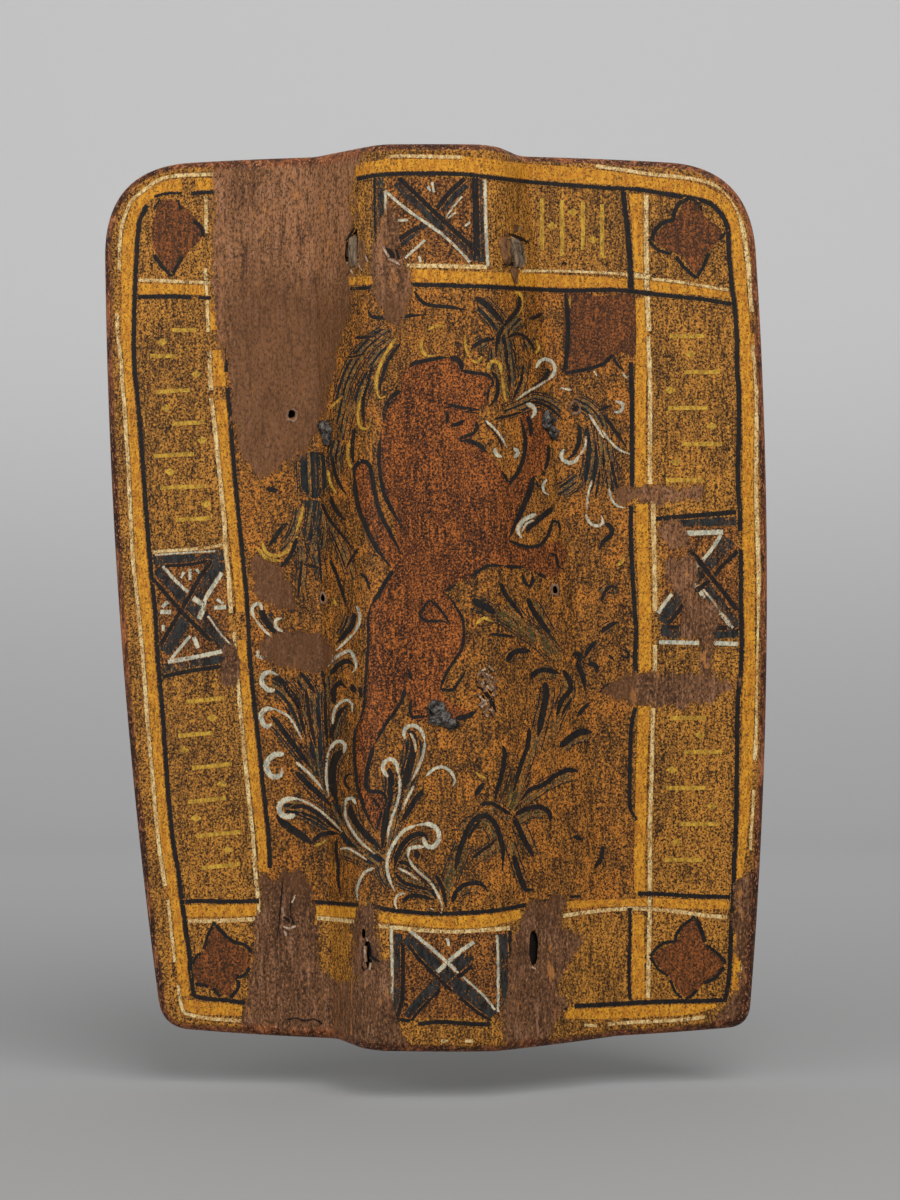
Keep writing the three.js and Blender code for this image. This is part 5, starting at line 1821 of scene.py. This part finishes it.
def make_sleeve():
    around, rows = 96, 70
    mesh = bmesh.new()
    rings = []
    for row in range(rows + 1):
        height = (2 * row / rows - 1) * SLEEVE_HALF_LENGTH
        ring = []
        for step in range(around):
            share = step / around
            place, direction = sleeve_round(share)
            wrinkle = 0.22 * ragged(place.x + 2 * place.y, 3 * height, 7)
            wrinkle += 0.12 * math.sin(height * 0.9 + 3 * share)
            end = 0.7 * max(0, abs(height) / SLEEVE_HALF_LENGTH - 0.95) / 0.05
            place = place - direction * (0.45 - wrinkle + end)
            seam = math.exp(-((share - 0.5) * around / 1.6) ** 2)
            place = place + direction * 0.35 * seam
            up = height + 0.5 * ragged(place.x, place.y, 6)
            ring.append(mesh.verts.new(Vector((place.x, place.y, up)) * MM))
        rings.append(ring)
    bridge_rings(mesh, rings)
    sleeve = mesh_piece("sleeve", mesh)
    apply_modifier(sleeve, "SOLIDIFY", thickness=SLEEVE_THICKNESS * MM, offset=-1)
    stitches = [sleeve]
    for number in range(SEAM_STITCHES):
        height = (2 * (number + 0.5) / SEAM_STITCHES - 1) * (SLEEVE_HALF_LENGTH - 3)
        stitch = torus(20, 8, 1.7, 0.38)
        for vertex in stitch.data.vertices:
            a, b, c = vertex.co
            place = (a * 1.15, SLEEVE_HALF_DEPTH - 0.15 + 0.3 * b, height + c + 0.35 * a)
            vertex.co = Vector(place) * MM
        stitches.append(stitch)
    dress_piece(join_pieces("stitched_sleeve", stitches), "leather", "grip_leather", "grip_sleeve")


def make_flaps(name, flaps, look):
    """Ragged tongues of torn hide: place in pixels, length, width, lift at the tip and turn."""
    parts = []
    for px, py, length, width, lift, turn in flaps:
        along, across = np.meshgrid(np.linspace(0, 1, 15), np.linspace(-1, 1, 9), indexing="ij")
        uneven = np.array([[ragged(6 * a + px, 3 * b + py, 1.1) for b in across[0]] for a in along[:, 0]])
        right = across * width / 2 * (1 - 0.85 * along ** 1.4) + 0.5 * uneven
        out = 0.15 + lift * along ** 1.6 + 0.3 * uneven * along
        points = np.stack([right, along * length + 0.5 * uneven, out], axis=-1)
        flap = grid_piece(name, points / MM)
        apply_modifier(flap, "SOLIDIFY", thickness=0.5, offset=1)
        set_on_face(flap, spot_on_face(px, py), turn)
        parts.append(flap)
    dress_piece(join_pieces(name, parts), look, "front_hide")


make_nails()
make_stubs()
make_hole_rims()
for node, thong in THONGS.items():
    make_thong(node, *thong)
make_fold("thong_fold_upper_left", spot_on_face(353, 252), 8.6, 19, 1.5, 0.5, 0.1)
make_fold("raised_hide_upper_left", spot_on_face(362, 254), 6.4, 18, 0.9, 0.35, 0.16, look="hide_brown")
make_fold("raised_hide_upper_right", spot_on_face(506, 251), 9.6, 17, 1.7, 0.3, 0.2, look="hide_brown")
make_fold("thong_fold_upper_right", spot_on_face(513, 253), 5.4, 19, 3.0, 0.4, 0.12, 1.6)
make_fold("thong_edge_upper_right", spot_on_face(519, 254), 4.4, 17.5, 2.4, 0.3, 0.16, 2.6)
make_sleeve()
make_flaps("torn_flaps", [(349, 264, 6, 4, 1.2, math.pi), (357, 264, 5, 2.4, 1.4, math.pi + 0.3),
                          (514, 268, 9.5, 9, 0.6, math.pi), (507, 236, 4, 4, 1.2, 0.6),
                          (352, 229, 4, 5, 0.7, 0.2), (516, 231, 4, 7, 0.8, 0.1),
                          (396, 249, 3, 2.4, 1, -0.8)], "hide_brown")
make_flaps("torn_fibres", [(481, 686, 4.5, 1.8, 1.4, 0.5), (487, 683, 4.5, 2, 1.4, -0.4),
                           (492, 684, 4, 1.6, 1.6, -0.9), (485, 692, 4, 1.8, 1.6, 0.2),
                           (495, 694, 4.5, 1.4, 1.6, 0.1), (483, 701, 4, 1.8, 1.4, 2.4),
                           (487, 706, 4.5, 1.8, 1.2, 3.0), (492, 711, 4, 1.6, 1, -2.6),
                           (485, 675, 4, 1.8, 1, 0.9), (490, 678, 4, 1.6, 1.2, 1.4),
                           (479, 694, 4, 1.6, 1.2, 1.9)], "scraped")

# Studio: a pale sweep, soft lamps and the camera
FLOOR_Z = -0.338
FLOOR_FRONT = -1.6
BEND_START = 1.55
BEND_RADIUS = 0.8
BEND_STEPS = 24
WALL_TOP = 3.4
HALF_STAGE = 3.0


def make_stage():
    """Floor, bend and wall as one sheet of paper, its colour painted paler to the back and upwards: painted
    light for the lamps' fall-off.
    """
    profile = [(FLOOR_FRONT, 0.0)]
    for angle in np.radians(np.linspace(0, 90, BEND_STEPS + 1)):
        deep, high = math.sin(angle), 1 - math.cos(angle)
        profile.append((BEND_START + BEND_RADIUS * deep, BEND_RADIUS * high))
    profile.append((BEND_START + BEND_RADIUS, WALL_TOP))
    mesh = bmesh.new()
    rows = [[mesh.verts.new((x, y, FLOOR_Z + z)) for x in (-HALF_STAGE, HALF_STAGE)] for y, z in profile]
    for low, high in zip(rows, rows[1:]):
        mesh.faces.new((low[0], low[1], high[1], high[0]))
    floor = mesh_piece("studio_sweep", mesh)
    for polygon in floor.data.polygons:
        polygon.use_smooth = True
    material, n, shader = new_material("studio_paper_painted_light", 0.9)
    # Painted light: the paper's grey grows paler towards the back and upwards
    paper = n.mix(n.step(n.place_along("Y"), 0.0, 1.5), (166, 166, 166), (192, 192, 192))
    paper = n.mix(n.step(n.place_along("Z"), FLOOR_Z, FLOOR_Z + 0.84), paper, (238, 238, 238))
    n.join(paper, shader.inputs["Base Color"])
    floor.data.materials.append(material)


def add_lamp(name, place, target, size, power):
    bpy.ops.object.light_add(type="AREA", location=place)
    lamp = bpy.context.object
    lamp.name = name
    lamp.data.size = size
    lamp.data.energy = power
    lamp.rotation_euler = (Vector(target) - Vector(place)).to_track_quat("-Z", "Y").to_euler()


def make_studio():
    make_stage()
    add_lamp("key_lamp", (0.7, -1.5, 1.7), (0, 0, 0), 1.8, 33.5)
    add_lamp("fill_lamp", (-1.6, -1.6, 0.5), (0, 0, -0.05), 1.6, 15)
    world = bpy.data.worlds.new("studio_air")
    bpy.context.scene.world = world
    world.use_nodes = True
    world.node_tree.nodes["Background"].inputs["Color"].default_value = (1, 1, 1, 1)
    world.node_tree.nodes["Background"].inputs["Strength"].default_value = 0.46
    bpy.context.scene.view_settings.view_transform = "Standard"
    bpy.ops.object.camera_add(location=[value * MM for value in CAMERA], rotation=(math.pi / 2, 0, 0))
    camera = bpy.context.object
    camera.name = "photo_camera"
    camera.data.sensor_fit = "VERTICAL"
    camera.data.sensor_height = SENSOR
    camera.data.lens = SENSOR * PIXELS_PER_UNIT_SLOPE / IMAGE_HEIGHT
    camera.data.clip_end = 20
    bpy.context.scene.camera = camera


make_studio()
